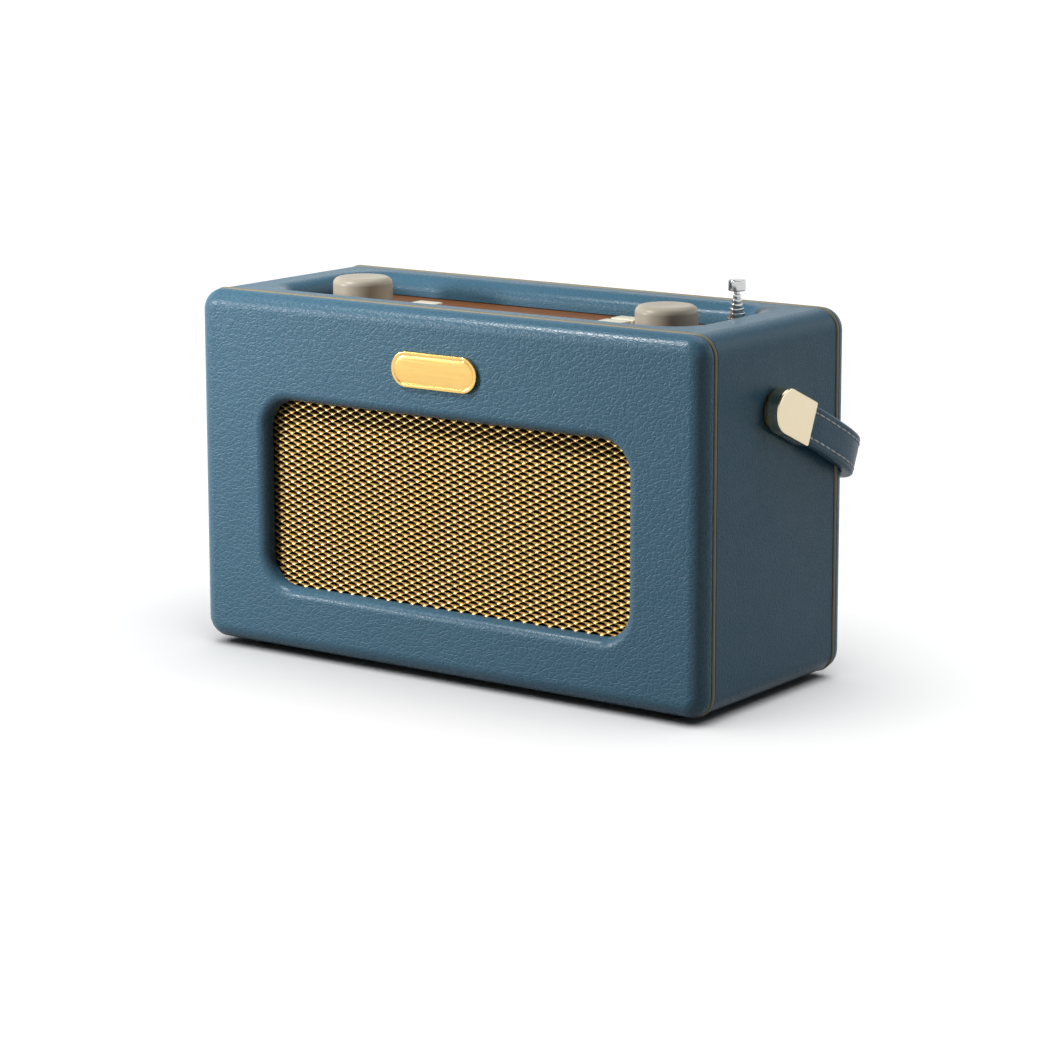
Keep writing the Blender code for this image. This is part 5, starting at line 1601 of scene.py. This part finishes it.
class RADIO_OT_feet(bpy.types.Operator):
    """Four low rubber feet"""

    bl_idname = "radio.feet"
    bl_label = "Feet"

    def execute(self, context):
        back = context.scene.radio_back
        feet = [f"foot_{n}" for n in (1, 2, 3, 4)]
        places = [place_of(node) for node in feet]
        low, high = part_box(feet[0])
        radius = (high.x - low.x) / 2
        tall = high.z - low.z
        ease = 0.7 * MM
        profile = [(0, tall), (radius, tall)]
        profile += arc((radius - ease, ease), ease, 0, -90, LIP_STEPS) + [(0, 0)]
        foot = turned("foot", profile, ROUND_SIDES)
        colour = tuple(back.rubber_colour)
        texture = {"grain": 0.6 * MM, "depth": 0.04 * MM}
        finish = finish_of("black_rubber", moulding, colour, roughness=0.75, specular=0.2, **texture)
        span = (places[2].x - places[0].x, places[1].y - places[0].y)
        middle = sum(places, Vector()) / 4
        rows = four_places("feet", foot, span, (middle.x, middle.y, low.z - ORIGIN.z), finish)
        add_piece("feet", shaded(rows), finish, "radio", "rubber", *feet)
        return {"FINISHED"}


class RADIO_OT_inner_parts(bpy.types.Operator):
    """Finishes of the solids that keep their own shape"""

    bl_idname = "radio.inner_parts"
    bl_label = "Inner Parts"

    def execute(self, context):
        back = context.scene.radio_back
        plain = steel(back)
        black = black_moulding(back)
        board = finish_of("circuit_board", circuit_board)
        felt = finish_of("black_baffle", fibre, (0.010, 0.008, 0.006), size=1.2 * MM)
        paper = finish_of("paper_cone", fibre, (0.02, 0.02, 0.02), size=0.8 * MM)
        magnet = finish_of("magnet_cup", metal, (0.16, 0.16, 0.17), roughness=0.45)
        wrap = finish_of("cell_wrap", moulding, (0.05, 0.07, 0.10), roughness=0.4, grain=0.8 * MM)
        finishes = {
            "baffle_board": felt, "speaker_cone": paper, "speaker_frame": plain,
            "speaker_magnet": magnet, "display_module": black, "control_board": board,
            "main_board": board, "battery_tray": black, "battery_pack": wrap, "door_hinge_pin": plain,
        }
        for side in ("left", "right"):
            for node in ("encoder_", "encoder_shaft_", "pivot_screw_"):
                finishes[node + side] = plain
        for node, finish in finishes.items():
            mesh = frame["nodes"][node].data
            mesh.materials.clear()
            mesh.materials.append(finish)
        return {"FINISHED"}


SUN_DISTANCE = 2
WALL_TOP = math.radians(24)
CEILING = math.radians(42)


class RADIO_OT_stage(bpy.types.Operator):
    """Pale floor, soft studio light and the camera"""

    bl_idname = "radio.stage"
    bl_label = "Stage"

    def execute(self, context):
        stage = context.scene.radio_stage
        spread = stage.floor_spread
        shape = bmesh.new()
        corners = [(-spread, -spread), (spread, -spread), (spread, spread), (-spread, spread)]
        shape.faces.new([shape.verts.new((x, y, 0)) for x, y in corners])
        floor = hold("floor", to_mesh("floor", shape))
        paint = floor_finish("floor_paint", tuple(stage.floor_colour), stage.floor_return)
        floor.data.materials.append(paint)
        sky_world(context.scene, stage.sky_level)
        sides = {}
        for state in ("INCLUDE", "EXCLUDE"):
            sides[state] = bpy.data.collections.new("floor_" + state.lower())
            sides[state].objects.link(floor)
            sides[state].collection_objects[0].light_linking.link_state = state
        for name, azimuth, elevation, softness, level, state in (
            ("floor_softbox", 20, 82, 90, stage.floor_level, "INCLUDE"),
            ("top_softbox", 180, 70, 45, stage.top_level, "EXCLUDE"),
            ("side_softbox", 130, 25, 60, stage.side_level, "EXCLUDE"),
        ):
            lamp = bpy.data.lights.new(name, "SUN")
            lamp.energy = level
            lamp.angle = math.radians(softness)
            holder = hold(name, lamp)
            aim(holder, azimuth, elevation, SUN_DISTANCE)
            holder.light_linking.receiver_collection = sides[state]
        for name, azimuth, elevation, level in (
            ("key_lamp", -46, 14, stage.key_level),
            ("edge_lamp", -40, 50, stage.edge_level),
        ):
            lamp = bpy.data.lights.new(name, "AREA")
            lamp.shape = "DISK"
            lamp.size = stage.key_size
            lamp.energy = level
            holder = hold(name, lamp)
            aim(holder, azimuth, elevation, stage.key_distance)
            holder.light_linking.receiver_collection = sides["EXCLUDE"]
        lens = bpy.data.cameras.new("camera")
        lens.sensor_width = 36
        lens.lens = stage.camera_lens
        lens.shift_y = stage.camera_shift
        lens.clip_start = 0.05
        lens.clip_end = 200
        camera = hold("camera", lens)
        camera.location = Vector(stage.camera_place) + ORIGIN
        turn = Matrix.Rotation(stage.camera_yaw, 3, "Z")
        turn = turn @ Matrix.Rotation(math.radians(90) - stage.camera_pitch, 3, "X")
        turn = turn @ Matrix.Rotation(stage.camera_roll, 3, "Z")
        camera.rotation_euler = turn.to_euler()
        context.scene.camera = camera
        context.scene.view_settings.view_transform = "Standard"
        return {"FINISHED"}


def aim(holder, azimuth, elevation, distance):
    """Places a lamp round the case and points it at the case's middle."""
    a, e = math.radians(azimuth), math.radians(elevation)
    away = Vector((math.sin(a) * math.cos(e), -math.cos(a) * math.cos(e), math.sin(e)))
    holder.rotation_euler = away.to_track_quat("Z", "Y").to_euler()
    holder.location = away * distance + (SLEEVE_LOW + SLEEVE_HIGH) / 2


def seen_directly(nodes, links):
    """1 for rays of the camera, reflections and transmission, 0 for diffuse rays."""
    ray = nodes.new("ShaderNodeLightPath")
    total = ray.outputs["Is Camera Ray"]
    for kind in ("Is Glossy Ray", "Is Transmission Ray"):
        step = nodes.new("ShaderNodeMath")
        step.operation = "MAXIMUM"
        links.new(total, step.inputs[0])
        links.new(ray.outputs[kind], step.inputs[1])
        total = step.outputs[0]
    return total


def floor_finish(name, colour, back):
    """White paper sweep that gives little light back to the object."""
    made = bpy.data.materials.new(name)
    made.use_nodes = True
    nodes = made.node_tree.nodes
    links = made.node_tree.links
    nodes.clear()
    bright = nodes.new("ShaderNodeBsdfDiffuse")
    bright.inputs["Color"].default_value = (*colour, 1)
    dull = nodes.new("ShaderNodeBsdfDiffuse")
    dull.inputs["Color"].default_value = (*toned(colour, back), 1)
    mix = nodes.new("ShaderNodeMixShader")
    links.new(seen_directly(nodes, links), mix.inputs[0])
    links.new(dull.outputs[0], mix.inputs[1])
    links.new(bright.outputs[0], mix.inputs[2])
    out = nodes.new("ShaderNodeOutputMaterial")
    links.new(mix.outputs[0], out.inputs["Surface"])
    return made


def sky_world(scene, level):
    """A studio whose white wall round the horizon fades into a dim ceiling."""
    world = bpy.data.worlds.new("studio")
    scene.world = world
    world.use_nodes = True
    nodes = world.node_tree.nodes
    links = world.node_tree.links
    parts = nodes.new("ShaderNodeSeparateXYZ")
    links.new(nodes.new("ShaderNodeTexCoord").outputs["Generated"], parts.inputs[0])
    fade = nodes.new("ShaderNodeMapRange")
    fade.interpolation_type = "SMOOTHSTEP"
    links.new(parts.outputs["Z"], fade.inputs["Value"])
    fade.inputs["From Min"].default_value = math.sin(WALL_TOP)
    fade.inputs["From Max"].default_value = math.sin(CEILING)
    fade.inputs["To Min"].default_value = 1.0
    fade.inputs["To Max"].default_value = level
    mix = nodes.new("ShaderNodeMix")
    links.new(seen_directly(nodes, links), mix.inputs[0])
    mix.inputs[2].default_value = level
    links.new(fade.outputs[0], mix.inputs[3])
    back = nodes["Background"]
    back.inputs["Color"].default_value = (1, 1, 1, 1)
    links.new(mix.outputs[0], back.inputs["Strength"])


OPERATORS = (
    RADIO_OT_stage,
    RADIO_OT_case_wrap,
    RADIO_OT_front_board,
    RADIO_OT_rear_board,
    RADIO_OT_piping,
    RADIO_OT_grille,
    RADIO_OT_plaque,
    RADIO_OT_control_plate,
    RADIO_OT_knobs,
    RADIO_OT_buttons,
    RADIO_OT_antenna,
    RADIO_OT_strap,
    RADIO_OT_caps,
    RADIO_OT_back_cover,
    RADIO_OT_battery_door,
    RADIO_OT_back_fittings,
    RADIO_OT_feet,
    RADIO_OT_inner_parts,
)


class RADIO_PT_sidebar(bpy.types.Panel):
    """Lists the radio's pieces and their settings"""

    bl_idname = "RADIO_PT_sidebar"
    bl_label = "Portable Radio"
    bl_space_type = "VIEW_3D"
    bl_region_type = "UI"
    bl_category = "Radio"

    def draw(self, context):
        for kind in OPERATORS:
            self.layout.operator(kind.bl_idname)
        for name in SETTINGS:
            box = self.layout.box()
            group = getattr(context.scene, name)
            for key in group.__annotations__:
                box.prop(group, key)


def register():
    for kind in (*SETTINGS.values(), *OPERATORS, RADIO_PT_sidebar):
        bpy.utils.register_class(kind)
    for name, kind in SETTINGS.items():
        setattr(bpy.types.Scene, name, PointerProperty(type=kind))


def unregister():
    for name in SETTINGS:
        delattr(bpy.types.Scene, name)
    for kind in (RADIO_PT_sidebar, *reversed(OPERATORS), *reversed(SETTINGS.values())):
        bpy.utils.unregister_class(kind)


def main():
    register()
    for kind in OPERATORS:
        family, name = kind.bl_idname.split(".")
        getattr(getattr(bpy.ops, family), name)()


if __name__ == "__main__":
    main()
